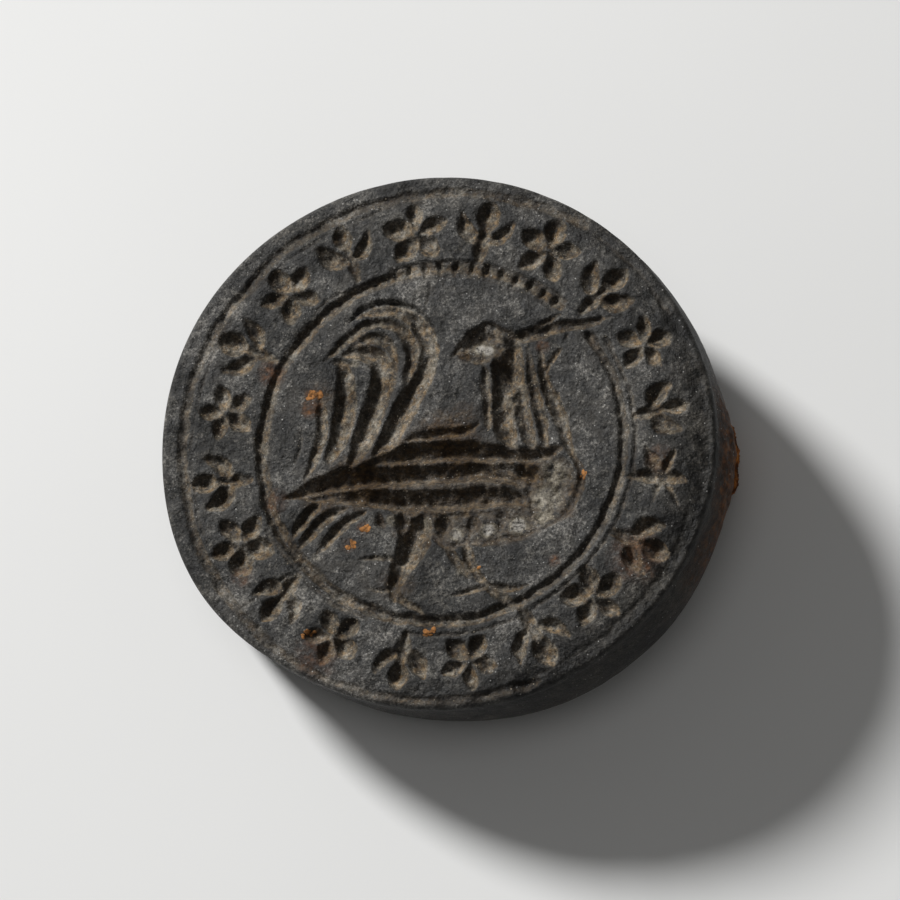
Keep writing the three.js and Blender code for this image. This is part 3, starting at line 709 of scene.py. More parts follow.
def stoneRings():
    top, girth, back = stoneSet["edgeRounding"], stoneSet["girthDepth"], -stoneSet["thickness"]
    count, side, under = stoneSet["faceRings"], stoneSet["sidePoints"], stoneSet["backPoints"]
    rings = [np.zeros((1, 3))]
    for k in range(1, count + 1):
        angle = around(6 * k)
        rho = k / count
        radius = rho * (stoneSet["radius"] - top) + departure("faceDeparture", angle) * rho ** 6
        rings.append(ringAt(angle, radius, 0))
    for degrees in stoneSet["edgeTurns"]:
        a = math.radians(degrees)
        rings.append(stoneRing(6 * count, 0, top * (1 - math.cos(a)), top * (math.sin(a) - 1)))
    for i in range(1, stoneSet["sideBands"] + 1):
        t = i / stoneSet["sideBands"]
        share = 1 - (1 - t) ** stoneSet["swell"]
        rings.append(stoneRing(side, share, 0, -top - (girth - top) * t))
    for i in range(1, stoneSet["backRoundBands"] + 1):
        a = i / stoneSet["backRoundBands"] * math.pi / 2
        inset = stoneSet["backRounding"] * (1 - math.cos(a))
        rings.append(stoneRing(side, 1, inset, -girth - (-back - girth) * math.sin(a)))
    edge, rim = stoneRing(under, 1, stoneSet["backRounding"], back), slotRing(under, back)
    for i in range(1, stoneSet["backBands"] + 1):
        t = i / stoneSet["backBands"]
        rings.append(edge * (1 - t) + rim * t)
    rings += [slotRing(under, back + stoneSet["slotDepth"] * t) for t in stoneSet["slotWalls"]]
    floor = back + stoneSet["slotDepth"]
    rings += [slotRing(under // 3, floor, scale) for scale in stoneSet["slotFloor"]]
    rings.append(slotRing(4, floor, 0).mean(0)[None])
    return rings


# Leaves on the stone what its material and the grains read; the face's values come first
def storeStone(stone, x, y, soilAndLitSide, stain, paintedShade, sideRust):
    normals = np.zeros(len(sideRust) * 3)
    stone.data.vertex_normals.foreach_get("vector", normals)
    # Painted light: dirt is kept on walls that face the key light and thinned on walls that face away, so the
    # lit walls of the cuts read paler and the shaded ones darker
    towardKey = normals.reshape(-1, 3)[:len(x)] @ np.array(wearSet["keyLightSide"])
    least = wearSet["soilOnShadedWalls"]
    soilAndLitSide = soilAndLitSide * (least + (1 - least) * smoothStep(*wearSet["soilLitRange"], towardKey))
    rust, pale, fleck = (spotted(x, y, spots) for spots in (rustSpots, paleSpots, fleckSpots))

    def store(name, values, rest):
        full = rest.copy()
        full[:len(x)] = values
        storeValues(stone, name, full)

    blank = np.zeros(len(sideRust))
    for name, values in (("soilAndLitSide", soilAndLitSide), ("stain", stain), ("pale", pale), ("fleck", fleck)):
        store(name, values, blank)
    store("rust", rust, sideRust)
    # Painted shade: the worn slope at the right of the face, and all of the side and back, are darkened in
    # the colour
    store("paintedShade", paintedShade, blank + 1)


def makeStone(material):
    rings = stoneRings()
    points, faces = skinOver(rings)
    x, y, z = points.T.copy()
    counted = np.cumsum([len(ring) for ring in rings])
    lastLip = stoneSet["faceRings"] + len(stoneSet["edgeTurns"])
    lastSide = len(rings) - len(stoneSet["slotWalls"]) - len(stoneSet["slotFloor"]) - 2
    face, lip = slice(0, counted[stoneSet["faceRings"]]), slice(0, counted[lastLip])
    edgeRing = slice(counted[lastLip - 1], counted[lastLip])
    side = slice(counted[lastLip], counted[lastSide])

    def wavy(name, part):
        return waves(x[part], y[part], z[part], *stoneWaves[name])

    depth, soilAndLitSide, stain = engrave(x[lip], y[lip])
    bearing = np.arctan2(y, x)
    # the ground is not quite flat, and finely pitted
    pits = np.clip(wavy("pits", face), 0, 1) * wearSet["pitDepth"]
    sag = wavy("sag", face) + pits + wearSet["grainDepth"] * wavy("coarse", face)
    # the rim is worn and chipped
    inside = wearSet["from"] + departure("faceDeparture", bearing[lip]) - np.hypot(x, y)[lip]
    edge = smoothStep(wearSet["edgeBreadth"], 0, inside)
    slope = smoothStep(wearSet["slopeBreadth"], 0, inside)
    wearSide = 0.5 + 0.5 * np.cos(bearing[lip] - math.radians(wearSet["bearing"]))
    worn = wearSide ** 3
    least, atSide, inChips = wearSet["edgeWear"]
    wear = edge ** 2 * (least + wearSide * (atSide + inChips * np.clip(wavy("chips", lip), 0, 1)))
    wear = wear + wearSet["depth"] * (worn * slope ** 1.5)
    z[face] -= np.maximum(sag, 0)
    z[lip] -= wear + depth * (1 - wearSet["cutsLost"] * edge)
    # the side starts as low as the worn lip above it
    drop = z[edgeRing] + stoneSet["edgeRounding"]
    order = np.argsort(bearing[edgeRing])
    dropHere = np.interp(bearing[side], bearing[edgeRing][order], drop[order], period=2 * math.pi)
    z[side] += dropHere * smoothStep(wearSet["sideFade"], -stoneSet["edgeRounding"], z[side])
    # the sides and back keep the marks of rubbing down, and rust has grown beside the loop
    rough, fine = wavy("rough", side), wavy("fine", side)
    turnAway = np.degrees(bearing[side]) - wearSet["rustBearing"]
    beside = np.exp(-(turnAway / wearSet["rustSpread"]) ** 2)
    low = smoothStep(*wearSet["rustTop"], z[side]) * smoothStep(*wearSet["rustFoot"], z[side])
    inFine, inRough = wearSet["rustLumps"]
    pushed = wearSet["rustSwell"] * (beside * low) * (1 + inFine * fine + inRough * rough)
    always, inRough, inFine = wearSet["rubbed"]
    pushed = pushed - always - inRough * rough - inFine * fine
    x[side] *= 1 + pushed / stoneSet["radius"]
    y[side] *= 1 + pushed / stoneSet["radius"]
    second, offset = wearSet["secondRust"]
    reach = beside + second * np.exp(-((turnAway + offset) / wearSet["rustSpread"]) ** 2)
    always, inRough = wearSet["rustCover"]
    sideRust = np.zeros(len(points))
    sideRust[side] = np.clip(always * reach * low + inRough * rough * reach, 0, 1)
    marks = wearSet["backMarks"]
    z[side] += np.where(z[side] < wearSet["backFrom"], marks + marks * rough, 0)
    stone = meshPiece("engraved_stone", onTable(np.column_stack([x, y, z])), faces)
    stone.data.materials.append(material)
    # The worn slope at the right also sets where the face is painted darker as shade
    storeStone(stone, x[lip], y[lip], soilAndLitSide, stain, slope * worn, sideRust)
    return stone


# Nodes: an input is fed by another node's output or holds a value of its own
def feed(tree, socket, value):
    if isinstance(value, bpy.types.NodeSocket):
        tree.links.new(value, socket)
    else:
        socket.default_value = value


def treeNode(tree, kind, **inputs):
    node = tree.nodes.new(kind)
    for label, value in inputs.items():
        feed(tree, node.inputs[label.replace("_", " ")], value)
    return node


def newMaterial(name):
    material = bpy.data.materials.new(name)
    material.use_nodes = True
    tree = material.node_tree
    tree.nodes.clear()
    shader = treeNode(tree, "ShaderNodeBsdfPrincipled")
    treeNode(tree, "ShaderNodeOutputMaterial", Surface=shader.outputs["BSDF"])
    return material, tree, shader


# A grey from one number, or a colour from three, as a socket takes it
def opaque(value):
    return (*value, 1) if isinstance(value, tuple) else (value, value, value, 1)


def grain(tree, scale, detail, rough=0.55, shift=(0, 0, 0)):
    place = treeNode(tree, "ShaderNodeTexCoord").outputs["Object"]
    moved = treeNode(tree, "ShaderNodeMapping", Vector=place, Location=shift)
    cloud = treeNode(tree, "ShaderNodeTexNoise", Vector=moved.outputs["Vector"], Scale=scale,
                     Detail=detail, Roughness=rough)
    return cloud.outputs["Fac"]


def ramp(tree, value, stops):
    node = treeNode(tree, "ShaderNodeValToRGB", Fac=value)
    elements = node.color_ramp.elements
    while len(elements) < len(stops):
        elements.new(0.5)
    for element, (position, colour) in zip(elements, stops):
        element.position = position
        element.color = opaque(colour)
    return node.outputs["Color"]


def times(tree, a, b, clamped=True):
    node = treeNode(tree, "ShaderNodeMath")
    node.operation = "MULTIPLY"
    node.use_clamp = clamped
    feed(tree, node.inputs[0], a)
    feed(tree, node.inputs[1], b)
    return node.outputs[0]


def mixed(tree, share, a, b, blend="MIX"):
    node = tree.nodes.new("ShaderNodeMix")
    node.data_type = "RGBA"
    node.blend_type = blend
    feed(tree, node.inputs["Factor"], share)
    colourSockets = [s for s in node.inputs if s.type == "RGBA"]
    for socket, value in zip(colourSockets, (a, b)):
        feed(tree, socket, value if isinstance(value, bpy.types.NodeSocket) else opaque(value))
    return [s for s in node.outputs if s.type == "RGBA"][0]


def stored(tree, name):
    node = tree.nodes.new("ShaderNodeAttribute")
    node.attribute_name = name
    return node.outputs["Fac"]


def bumps(tree, layers):
    normal = None
    for height, distance, strength in layers:
        node = treeNode(tree, "ShaderNodeBump", Height=height, Distance=distance * mm, Strength=strength)
        if normal is not None:
            tree.links.new(normal, node.inputs["Normal"])
        normal = node.outputs["Normal"]
    return normal


def dress(tree, shader, colour, roughness, specular, layers):
    feed(tree, shader.inputs["Base Color"], colour)
    feed(tree, shader.inputs["Roughness"], roughness)
    shader.inputs["Specular IOR Level"].default_value = specular
    if layers:
        tree.links.new(bumps(tree, layers), shader.inputs["Normal"])


# Noises of the stone: scale, detail, roughness and shift
stoneGrains = {
    "broad": (230, 4),
    "middling": (1800, 4, 0.6, (0.3, 0.1, 0)),
    "fine": (6200, 3, 0.65, (0, 0.2, 0.1)),
    "patchy": (3000, 4, 0.68, (0.05, 0.4, 0)),
    "mottle": (360, 8, 0.94, (0.02, 0.07, 0)),
    "relief": (650, 7, 0.6, (0.11, 0.03, 0)),
}
# Ramps of the stone: the noise that each reads, then its stops, a place with a grey or a colour
stoneRamps = {
    "ground": ("mottle", [(0.41, (0.0055, 0.0053, 0.005)), (0.475, (0.0175, 0.017, 0.0158)),
                          (0.53, (0.04, 0.0385, 0.0355)), (0.59, (0.116, 0.11, 0.1))]),
    "fineTone": ("fine", [(0.38, 0.4), (0.5, 0.95), (0.62, 1.9)]),
    "broadTone": ("broad", [(0.36, (0.62, 0.6, 0.56)), (0.5, 1), (0.64, (1.4, 1.38, 1.34))]),
    "dustPlaces": ("broad", [(0.4, 0), (0.72, 0.5)]),
    "dustGrain": ("middling", [(0.4, 0), (0.62, 1)]),
    "soilShare": ("patchy", [(0.34, 0), (0.56, 1)]),
    "soilTone": ("mottle", [(0.4, (0.035, 0.025, 0.015)), (0.47, (0.1, 0.082, 0.058)),
                            (0.53, (0.17, 0.148, 0.115)), (0.62, (0.33, 0.3, 0.25))]),
    "soilBrown": ("middling", [(0.38, (1.1, 0.86, 0.58)), (0.56, 1), (0.7, (0.9, 0.93, 0.94))]),
    "stainShare": ("middling", [(0.3, 0.45), (0.6, 1)]),
    "stainTone": ("patchy", [(0.32, (0.008, 0.005, 0.003)), (0.5, (0.036, 0.02, 0.008)),
                             (0.64, (0.088, 0.052, 0.019)), (0.8, (0.18, 0.11, 0.045))]),
    "paleShare": ("patchy", [(0.38, 0), (0.52, 1)]),
    "paleTone": ("mottle", [(0.41, (0.034, 0.027, 0.018)), (0.47, (0.098, 0.084, 0.06)),
                            (0.53, (0.18, 0.158, 0.12)), (0.6, (0.34, 0.31, 0.25))]),
    "rustShare": ("patchy", [(0.34, 0.1), (0.56, 1)]),
    "rustTone": ("middling", [(0.32, (0.022, 0.009, 0.004)), (0.5, (0.075, 0.03, 0.011)),
                              (0.68, (0.22, 0.085, 0.025))]),
    "glintShare": ("broad", [(0.4, 0.35), (0.6, 1)]),
    "roughness": ("middling", [(0.3, 0.5), (0.7, 0.68)]),
}
stoneLook = {
    "paintedShade": (0.29, 0.275, 0.25),
    "dust": (0.078, 0.071, 0.061),
    # Pale colour of the glinting specks: painted glints
    "palest": (0.36, 0.342, 0.31),
    "speck": (0.34, 0.33, 0.31),
    "soilTint": 0.9,
    "paleFull": [(0, 0), (0.5, 1)],
    "paleWhite": [(0.5, 0), (1, 0.7)],
    "glintScale": 5600,
    "glintRare": [(0.945, 0), (0.965, 1)],
    "glintEdge": [(0.16, 1), (0.3, 0)],
    "soilRoughness": 0.92,
    "rustRoughness": 0.9,
    "speckRoughness": 0.25,
    "specular": 0.3,
    "reliefBump": (0.36, 1),
    "fineBump": (0.075, 1),
}


# Specks that glint: small round cells, few of them chosen; their pale colour is a painted glint, and their
# low roughness gives a real one
def specks(tree, share):
    place = treeNode(tree, "ShaderNodeTexCoord").outputs["Object"]
    cells = treeNode(tree, "ShaderNodeTexVoronoi", Vector=place, Scale=stoneLook["glintScale"])
    chosen = treeNode(tree, "ShaderNodeSeparateColor", Color=cells.outputs["Color"])
    near = ramp(tree, cells.outputs["Distance"], stoneLook["glintEdge"])
    rare = ramp(tree, chosen.outputs[0], stoneLook["glintRare"])
    return times(tree, near, times(tree, rare, share))


def stoneMaterial():
    material, tree, shader = newMaterial("black_stone")
    noises = {name: grain(tree, *values) for name, values in stoneGrains.items()}
    tones = {name: ramp(tree, noises[source], stops) for name, (source, stops) in stoneRamps.items()}
    colour = mixed(tree, 1, tones["ground"], tones["fineTone"], "MULTIPLY")
    colour = mixed(tree, 1, colour, tones["broadTone"], "MULTIPLY")
    # painted shade: the worn right slope and the whole side and back are darkened
    darker = mixed(tree, 1, colour, stoneLook["paintedShade"], "MULTIPLY")
    colour = mixed(tree, stored(tree, "paintedShade"), colour, darker)
    dusty = times(tree, tones["dustPlaces"], tones["dustGrain"])
    colour = mixed(tree, dusty, colour, stoneLook["dust"])
    # dirt left in the cuts, thin and broken up, fuller on walls that face the key light: real dirt and
    # painted highlight together
    soilAndLitCover = times(tree, stored(tree, "soilAndLitSide"), tones["soilShare"])
    soilAndLitSide = mixed(tree, stoneLook["soilTint"], tones["soilTone"], tones["soilBrown"], "MULTIPLY")
    colour = mixed(tree, soilAndLitCover, colour, soilAndLitSide)
    stain = times(tree, stored(tree, "stain"), tones["stainShare"])
    colour = mixed(tree, stain, colour, tones["stainTone"])
    # strong spots are whiter as well as fuller
    pale = stored(tree, "pale")
    fuller = times(tree, ramp(tree, pale, stoneLook["paleFull"]), tones["paleShare"])
    whiter = ramp(tree, pale, stoneLook["paleWhite"])
    colour = mixed(tree, fuller, colour, mixed(tree, whiter, tones["paleTone"], stoneLook["palest"]))
    rust = times(tree, stored(tree, "rust"), tones["rustShare"])
    colour = mixed(tree, rust, colour, tones["rustTone"])
    speck = specks(tree, tones["glintShare"])
    # painted glints: pale specks in the colour, besides the real glints of their low roughness
    colour = mixed(tree, speck, colour, stoneLook["speck"])
    roughness = mixed(tree, soilAndLitCover, tones["roughness"], stoneLook["soilRoughness"])
    roughness = mixed(tree, rust, roughness, stoneLook["rustRoughness"])
    roughness = mixed(tree, speck, roughness, stoneLook["speckRoughness"])
    dress(tree, shader, colour, roughness, stoneLook["specular"],
          [(noises["relief"], *stoneLook["reliefBump"]), (noises["fine"], *stoneLook["fineBump"])])
    return material


grainLook = {"grains": [(4200, 3, 0.6)], "roughness": 0.9, "specular": 0.3, "bumps": [(0.02, 0.6)]}
# The other coats. The first grain is under the tone, the second under the specks where there are any
coatLooks = {
    "thick_rust": {
        "grains": [(900, 5, 0.6), (5200, 4, 0.65, (0.2, 0, 0.3))],
        "tone": [(0.28, (0.016, 0.007, 0.004)), (0.43, (0.09, 0.029, 0.008)),
                 (0.55, (0.34, 0.118, 0.025)), (0.72, (0.62, 0.25, 0.06))],
        "specks": [(0.33, 0.6), (0.55, 0)],
        "speck": (0.03, 0.011, 0.005),
        "roughness": 0.95,
        "specular": 0.1,
        "bumps": [(0.2, 0.6), (0.06, 0.8)],
    },
    "dark_iron": {
        "grains": [(1100, 5, 0.6, (0.4, 0.2, 0)), (6000, 4, 0.65)],
        "tone": [(0.35, (0.022, 0.018, 0.016)), (0.55, (0.06, 0.038, 0.026)), (0.72, (0.19, 0.08, 0.03))],
        "specks": [(0.55, 0), (0.72, 0.6)],
        "speck": (0.11, 0.09, 0.075),
        "roughness": [(0.35, 0.5), (0.6, 0.88)],
        "metallic": 0.25,
        "bumps": [(0.09, 0.5), (0.03, 0.8)],
    },
    "weathered_lead": {
        "grains": [(1400, 4, 0.6), (7000, 3, 0.6)],
        "tone": [(0.3, (0.075, 0.078, 0.082)), (0.55, (0.15, 0.152, 0.155)), (0.75, (0.34, 0.335, 0.32))],
        "specks": [(0.55, 0), (0.7, 0.5)],
        "speck": (0.14, 0.08, 0.045),
        "roughness": [(0.3, 0.45), (0.7, 0.8)],
        "metallic": 0.5,
        "bumps": [(0.08, 0.5), (0.02, 0.7)],
    },
    "dry_dirt": {**grainLook, "tone": [(0.3, (0.06, 0.045, 0.028)), (0.7, (0.3, 0.26, 0.2))]},
    "orange_rust": {**grainLook, "tone": [(0.3, (0.075, 0.034, 0.011)), (0.7, (0.4, 0.175, 0.052))]},
    "pale_table": {
        "grains": [(9, 3)],
        "tone": [(0.3, (0.74, 0.74, 0.73)), (0.7, (0.79, 0.79, 0.78))],
        "roughness": 0.85,
        "specular": 0.2,
    },
}


def coatMaterial(name):
    look = coatLooks[name]
    material, tree, shader = newMaterial(name)
    grains = [grain(tree, *values) for values in look["grains"]]
    colour = ramp(tree, grains[0], look["tone"])
    if "specks" in look:
        colour = mixed(tree, ramp(tree, grains[1], look["specks"]), colour, look["speck"])
    roughness = look["roughness"]
    if isinstance(roughness, list):
        roughness = ramp(tree, grains[0], roughness)
    layers = [(height, *values) for height, values in zip(grains, look.get("bumps", []))]
    dress(tree, shader, colour, roughness, look.get("specular", 0.5), layers)
    shader.inputs["Metallic"].default_value = look.get("metallic", 0)
    return material


# Node trees of the grains and the ring. The values that a tree is given name its inputs
def nodeTree(name, values):
    tree = bpy.data.node_groups.new(name, "GeometryNodeTree")
    for way in ("INPUT", "OUTPUT"):
        tree.interface.new_socket("Geometry", in_out=way, socket_type="NodeSocketGeometry")
    keys = {}
    for label, value in values.items():
        kind = "NodeSocketInt" if isinstance(value, int) else "NodeSocketFloat"
        keys[label] = tree.interface.new_socket(label, in_out="INPUT", socket_type=kind).identifier
    return tree, tree.nodes.new("NodeGroupInput").outputs, keys


def vectorMath(tree, operation, vector, other):
    node = tree.nodes.new("ShaderNodeVectorMath")
    node.operation = operation
    feed(tree, node.inputs[0], vector)
    feed(tree, node.inputs["Scale" if operation == "SCALE" else 1], other)
    return node.outputs[0]


def closeTree(tree, geometry, material):
    real = treeNode(tree, "GeometryNodeRealizeInstances", Geometry=geometry)
    dressed = treeNode(tree, "GeometryNodeSetMaterial", Geometry=real.outputs["Geometry"], Material=material)
    end = tree.nodes.new("NodeGroupOutput")
    tree.links.new(dressed.outputs["Geometry"], end.inputs["Geometry"])


# Runs a tree on an object and leaves its result as a plain mesh
def treeResult(name, source, tree, keys, values):
    modifier = source.modifiers.new("nodes", "NODES")
    modifier.node_group = tree
    for label, value in values.items():
        modifier[keys[label]] = value
    bpy.context.view_layer.update()
    seen = source.evaluated_get(bpy.context.evaluated_depsgraph_get())
    mesh = bpy.data.meshes.new_from_object(seen)
    mesh.name = name
    source.modifiers.remove(modifier)
    return newObject(name, mesh)


# Grains of dirt in the cuts, thicker on walls that face the key light as painted light, flecks of rust on the
# face, crumbs on the loop: sizes in metres
grainSets = {
    "soil_grains_lit_side": {"Density": 5.5e6, "Smallest": 0.025 * mm, "Largest": 0.065 * mm, "Flatness": 0.7,
                    "Lumps": 0.03 * mm, "Fineness": 1, "Seed": 4},
    "rust_flecks": {"Density": 7e7, "Smallest": 0.08 * mm, "Largest": 0.19 * mm, "Flatness": 0.24,
                    "Lumps": 0.06 * mm, "Fineness": 2, "Seed": 8},
    "rust_crumbs": {"Density": 9e6, "Smallest": 0.04 * mm, "Largest": 0.11 * mm, "Flatness": 0.6,
                    "Lumps": 0.05 * mm, "Fineness": 1, "Seed": 2},
}
grainLumps = {"Scale": 4200.0, "Detail": 2.0}


def scatter(name, carrier, attribute, material):
    tree, given, keys = nodeTree(name, grainSets[name])
    where = treeNode(tree, "GeometryNodeInputNamedAttribute", Name=attribute)
    spread = treeNode(tree, "GeometryNodeDistributePointsOnFaces", Mesh=given["Geometry"], Seed=given["Seed"],
                      Density=times(tree, where.outputs["Attribute"], given["Density"], False))
    flat = treeNode(tree, "ShaderNodeCombineXYZ", X=1.0, Y=1.0, Z=given["Flatness"])
    size = treeNode(tree, "FunctionNodeRandomValue", Seed=given["Seed"])
    size.data_type = "FLOAT_VECTOR"
    for i, limit in enumerate(("Smallest", "Largest")):
        tree.links.new(vectorMath(tree, "SCALE", flat.outputs[0], given[limit]), size.inputs[i])
    shape = treeNode(tree, "GeometryNodeMeshIcoSphere", Radius=1.0, Subdivisions=given["Fineness"])
    put = treeNode(tree, "GeometryNodeInstanceOnPoints", Points=spread.outputs["Points"],
                   Instance=shape.outputs["Mesh"], Rotation=spread.outputs["Rotation"], Scale=size.outputs[0])
    solid = treeNode(tree, "GeometryNodeRealizeInstances", Geometry=put.outputs["Instances"])
    place = treeNode(tree, "GeometryNodeInputPosition")
    lumps = treeNode(tree, "ShaderNodeTexNoise", Vector=place.outputs["Position"], **grainLumps)
    push = vectorMath(tree, "SUBTRACT", lumps.outputs["Color"], (0.5, 0.5, 0.5))
    push = vectorMath(tree, "SCALE", push, given["Lumps"])
    uneven = treeNode(tree, "GeometryNodeSetPosition", Geometry=solid.outputs["Geometry"], Offset=push)
    closeTree(tree, uneven.outputs["Geometry"], material)
    return treeResult(name, carrier, tree, keys, grainSets[name])


# The ring hangs from the eye and lies on the table; its wire is pitted inwards only, to keep its play
ironRingSet = {
    "Radius": 5.6 * mm,
    "Wire": 0.6 * mm,
    "Pits": 0.16 * mm,
    "Grain": 900.0,
}
ringFall = 8.7843
circlePoints = {"Radius": 260, "Wire": 36}
pitNoise = {"Detail": 4.0, "Roughness": 0.6}
pitRange = {"From_Min": 0.35, "From_Max": 0.68, "To_Min": 0, "To_Max": -1}


def makeRing(material):
    tree, given, keys = nodeTree("iron ring", ironRingSet)
    circles = [treeNode(tree, "GeometryNodeCurvePrimitiveCircle", Resolution=count, Radius=given[size])
               for size, count in circlePoints.items()]
    path, wire = (circle.outputs["Curve"] for circle in circles)
    tube = treeNode(tree, "GeometryNodeCurveToMesh", Curve=path, Profile_Curve=wire)
    place = treeNode(tree, "GeometryNodeInputPosition")
    grains = treeNode(tree, "ShaderNodeTexNoise", Vector=place.outputs["Position"], Scale=given["Grain"],
                      **pitNoise)
    low = treeNode(tree, "ShaderNodeMapRange", Value=grains.outputs["Fac"], **pitRange)
    deep = times(tree, low.outputs["Result"], given["Pits"], False)
    normal = treeNode(tree, "GeometryNodeInputNormal")
    pitted = treeNode(tree, "GeometryNodeSetPosition", Geometry=tube.outputs["Mesh"],
                      Offset=vectorMath(tree, "SCALE", normal.outputs["Normal"], deep))
    closeTree(tree, pitted.outputs["Geometry"], material)
    blank = newObject("ring_blank", bpy.data.meshes.new("ring_blank"))
    ring = treeResult("iron_ring", blank, tree, keys, ironRingSet)
    bpy.data.objects.remove(blank)
    fall = math.radians(ringFall)
    middle = Vector(hinge) + Vector((-math.cos(fall), 0, -math.sin(fall))) * ironRingSet["Radius"]
    ring.data.transform(Matrix.Translation(middle) @ Matrix.Rotation(-fall, 4, "Y"))
    ring.data.polygons.foreach_set("use_smooth", [True] * len(ring.data.polygons))
    return ring


# The loop: a strip folded round its eye, its two tails in the slot, with a thick crust of rust
loopSet = {
    "stripWidth": 4.4,
    "stripThickness": 1.0,
    "holeRadius": 1.3103,
    "foldGap": 0.2,
    "tailTop": -3.6,
    "bend": -7.3,
    "corner": 0.49,
    "crust": 0.07,
    "lump": 0.26,
    "lumpFrom": (0.2, 1.6),
    "lumpMiddle": 0.5,
    "lumpBreadth": 1.3,
    "lumpEven": (0.7, 0.3),
    "crumbs": 0.02,
    "shrink": 0.05,
    "free": (-6.9, -7.4),
    "outside": (-0.5, 0.4),
    "offTable": (0.15, 0.7),
    "crumbsLeast": 0.15,
    "eyeSteps": 90,
    "pathSteps": 190,
    "aroundSteps": 96,
    "smoothings": 6,
}
loopWaves = {
    "lumps": (0.42, (0.9, 1.1, 2.5), (0.5, 0.4, 6.5)),
    "crumbs": (0, (1, 0.16, 1.2)),
}


# Points at even steps along a path
def evenly(points, count, closed):
    points = np.asarray(points, float)
    if closed:
        points = np.vstack([points, points[:1]])
    run = np.concatenate([[0], np.cumsum(np.linalg.norm(np.diff(points, axis=0), axis=1))])
    at = np.linspace(0, run[-1], count, endpoint=not closed)
    return np.column_stack([np.interp(at, run, points[:, k]) for k in range(points.shape[1])])


def softOblong(halfX, halfY, corner, count):
    points = []
    for quarter, (sx, sy) in enumerate(((1, 1), (-1, 1), (-1, -1), (1, -1))):
        for step in range(7):
            angle = (quarter + step / 6) * math.pi / 2
            points.append((sx * (halfX - corner) + corner * math.cos(angle),
                           sy * (halfY - corner) + corner * math.sin(angle)))
    return evenly(points, count, True)


# The strip's middle line, across and up, and the way out from it at each point
def loopPath():
    eyeX, _, eyeZ = restSet["eye"]
    offset = (loopSet["stripThickness"] + loopSet["foldGap"]) / 2
    radius = loopSet["holeRadius"] + loopSet["stripThickness"] / 2
    tailX = stoneSet["slotMiddle"][0]
    neck = math.atan2(loopSet["bend"] - eyeZ, tailX - eyeX)
    spread = math.asin(offset / radius)
    path = [(tailX - offset, loopSet["tailTop"]), (tailX - offset, loopSet["bend"])]
    for angle in np.linspace(neck + spread, neck - spread + 2 * math.pi, loopSet["eyeSteps"]):
        path.append((eyeX + radius * math.cos(angle), eyeZ + radius * math.sin(angle)))
    path += [(tailX + offset, loopSet["bend"]), (tailX + offset, loopSet["tailTop"])]
    path = evenly(path, loopSet["pathSteps"], False)
    for _ in range(loopSet["smoothings"]):
        path[1:-1] = (path[:-2] + 2 * path[1:-1] + path[2:]) / 4
    along = np.gradient(path, axis=0)
    along /= np.linalg.norm(along, axis=1)[:, None]
    return path, np.column_stack([along[:, 1], -along[:, 0]])


def makeLoop(material):
    path, outward = loopPath()
    half = loopSet["stripThickness"] / 2
    count = loopSet["aroundSteps"]
    section = softOblong(half, loopSet["stripWidth"] / 2, loopSet["corner"], count)
    edgeway = np.roll(section, -1, 0) - np.roll(section, 1, 0)
    pushes = np.column_stack([edgeway[:, 1], -edgeway[:, 0]])
    pushes /= np.linalg.norm(pushes, axis=1)[:, None]
    middle, out = np.repeat(path, count, 0), np.repeat(outward, count, 0)
    across, push = np.tile(section, (len(path), 1)), np.tile(pushes, (len(path), 1))

    def away(flat):
        return np.column_stack([out[:, 0] * flat[:, 0], flat[:, 1], out[:, 1] * flat[:, 0]])

    strip = away(across)
    strip[:, ::2] += middle
    x, y, z = strip.T
    lumps = np.clip(waves(x, y, z, *loopWaves["lumps"]), 0, 1)
    crumbs = waves(x, y, z, *loopWaves["crumbs"])
    free = smoothStep(*loopSet["free"], z)
    outer = smoothStep(*loopSet["outside"], across[:, 0] / half)
    far = smoothStep(*loopSet["lumpFrom"], x - restSet["eye"][0])
    far = far * np.exp(-((y - loopSet["lumpMiddle"]) / loopSet["lumpBreadth"]) ** 2)
    always, inLumps = loopSet["lumpEven"]
    grown = free * outer * loopSet["crust"] * lumps
    grown = grown + free * outer * far * loopSet["lump"] * (always + inLumps * lumps)
    grown = grown + loopSet["crumbs"] * crumbs * free * outer - loopSet["shrink"] * (1 - outer) * lumps
    points = onTable(strip + away(push) * grown[:, None], False)
    points[:, 2] = np.maximum(points[:, 2], 0)
    faces = tubeFaces(len(path), count, False)
    faces.append(tuple(reversed(range(count))))
    faces.append(tuple(range(len(points) - count, len(points))))
    loop = meshPiece("rusted_loop", points, faces)
    offTable = smoothStep(*loopSet["offTable"], points[:, 2] / mm)
    storeValues(loop, "crust", free * outer * (loopSet["crumbsLeast"] + lumps) * offTable)
    loop.data.materials.append(material)
    return loop


# The lead: poured round the tails, hammered down, a little proud of the back
leadSet = {
    "tailHalf": (1.16, 2.26),
    "tailCorner": 0.2,
    "slotHalf": (2.13, 3.23),
    "slotCorner": 0.22,
    "lip": 0.16,
    "lipLift": 0.012,
    "lipFrom": 0.8,
    "folds": (0.4, 0.2),
    "bottom": -3.72,
    "rise": 0.03,
    "proud": 0.2,
    "dome": 0.6,
    "aroundSteps": 300,
    "topSteps": 20,
}
leadWaves = (0, (0.07, 1.3, 5.5), (0.03, 0.35, 9.5))


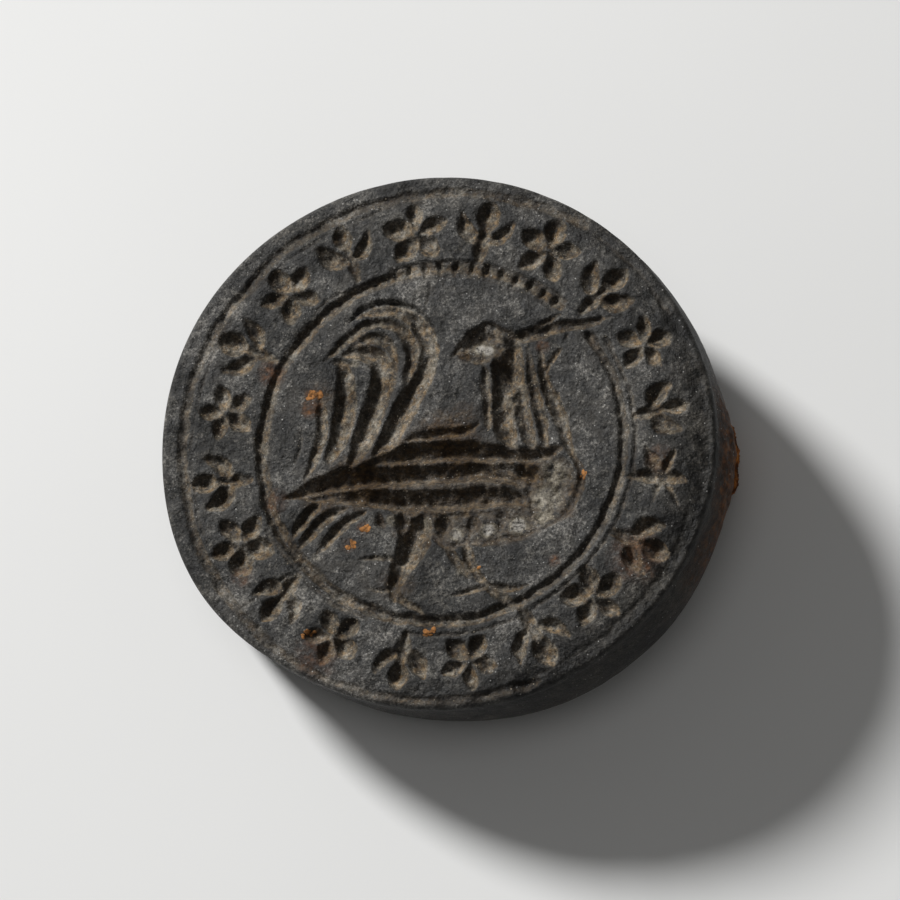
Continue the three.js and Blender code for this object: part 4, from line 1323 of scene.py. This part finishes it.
def makeLead(material):
    count, steps = leadSet["aroundSteps"], leadSet["topSteps"]
    inner = softOblong(*leadSet["tailHalf"], leadSet["tailCorner"], count)
    outer = softOblong(*leadSet["slotHalf"], leadSet["slotCorner"], count)
    back, bottom = -stoneSet["thickness"], leadSet["bottom"]
    outFold, inFold = leadSet["folds"]
    shift = np.array([stoneSet["slotMiddle"][0], 0])
    rings = []

    def addRing(share, grow, height):
        ring = inner * (1 - share) + outer * share
        ring = ring * (1 + grow / np.linalg.norm(ring, axis=1)[:, None])
        rings.append(np.column_stack([ring + shift, np.full(count, height)]))

    for i in range(steps + 1):
        t = i / steps
        bulge = leadSet["proud"] * math.sin(math.pi * t) ** leadSet["dome"]
        addRing(t, leadSet["lip"] * smoothStep(leadSet["lipFrom"], 1, t), back - leadSet["rise"] - bulge)
    addRing(1, leadSet["lip"], back - leadSet["lipLift"])
    for height in (back - leadSet["lipLift"] / 2, back + outFold, (back + bottom) / 2, bottom):
        addRing(1, 0, height)
    addRing(0.5, 0, bottom)
    for height in (bottom, (back + bottom) / 2, back + inFold):
        addRing(0, 0, height)
    points = np.vstack(rings)
    top = slice(0, count * (steps + 1))
    points[top, 2] += waves(*points[top].T, *leadWaves)
    points[top, 2] = np.minimum(points[top, 2], back - leadSet["lipLift"])
    collar = meshPiece("lead_collar", onTable(points, False), tubeFaces(len(rings), count, True))
    collar.data.materials.append(material)
    return collar


def areaLight(name):
    lamp = bpy.data.lights.new(name, "AREA")
    lamp.shape = "DISK"
    lamp.size = lightSet[name + "Size"] * mm
    lamp.energy = lightSet[name + "Power"]
    piece = newObject(name, lamp)
    place = Vector(lightSet[name + "Place"])
    piece.location = place * mm
    piece.rotation_mode = "QUATERNION"
    piece.rotation_quaternion = place.to_track_quat("Z", "Y")


def makeWorld():
    world = bpy.data.worlds.new("studio")
    world.use_nodes = True
    background = world.node_tree.nodes["Background"]
    background.inputs["Color"].default_value = lightSet["worldColour"]
    background.inputs["Strength"].default_value = lightSet["worldStrength"]
    bpy.context.scene.world = world


makeCamera()
areaLight("key")
areaLight("fill")
makeWorld()
bpy.context.scene.view_settings.view_transform = "Standard"
print("camera and lights done")

# Half the table's width, in metres
far = 3
floor = meshPiece("table", [(-far, -far, 0), (far, -far, 0), (far, far, 0), (-far, far, 0)], [(0, 1, 2, 3)])
floor.data.materials.append(coatMaterial("pale_table"))

stone = makeStone(stoneMaterial())
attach(stone, "seal")
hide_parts("matrix_body")
print("stone done:", len(stone.data.polygons), "triangles")

# Dirt grains, thicker on the walls that face the key light: painted light as well as dirt
grains = scatter("soil_grains_lit_side", stone, "soilAndLitSide", coatMaterial("dry_dirt"))
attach(grains, "seal")
flecks = scatter("rust_flecks", stone, "fleck", coatMaterial("orange_rust"))
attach(flecks, "seal")
print("grains done:", len(grains.data.polygons), "and", len(flecks.data.polygons), "triangles")

rust = coatMaterial("thick_rust")
loop = makeLoop(rust)
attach(loop, "seal")
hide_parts("suspension_loop")
crumbs = scatter("rust_crumbs", loop, "crust", rust)
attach(crumbs, "seal")
collar = makeLead(coatMaterial("weathered_lead"))
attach(collar, "seal")
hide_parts("lead_setting")
ring = makeRing(coatMaterial("dark_iron"))
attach(ring, "ring")
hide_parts("suspension_ring")
print("loop, lead and ring done")
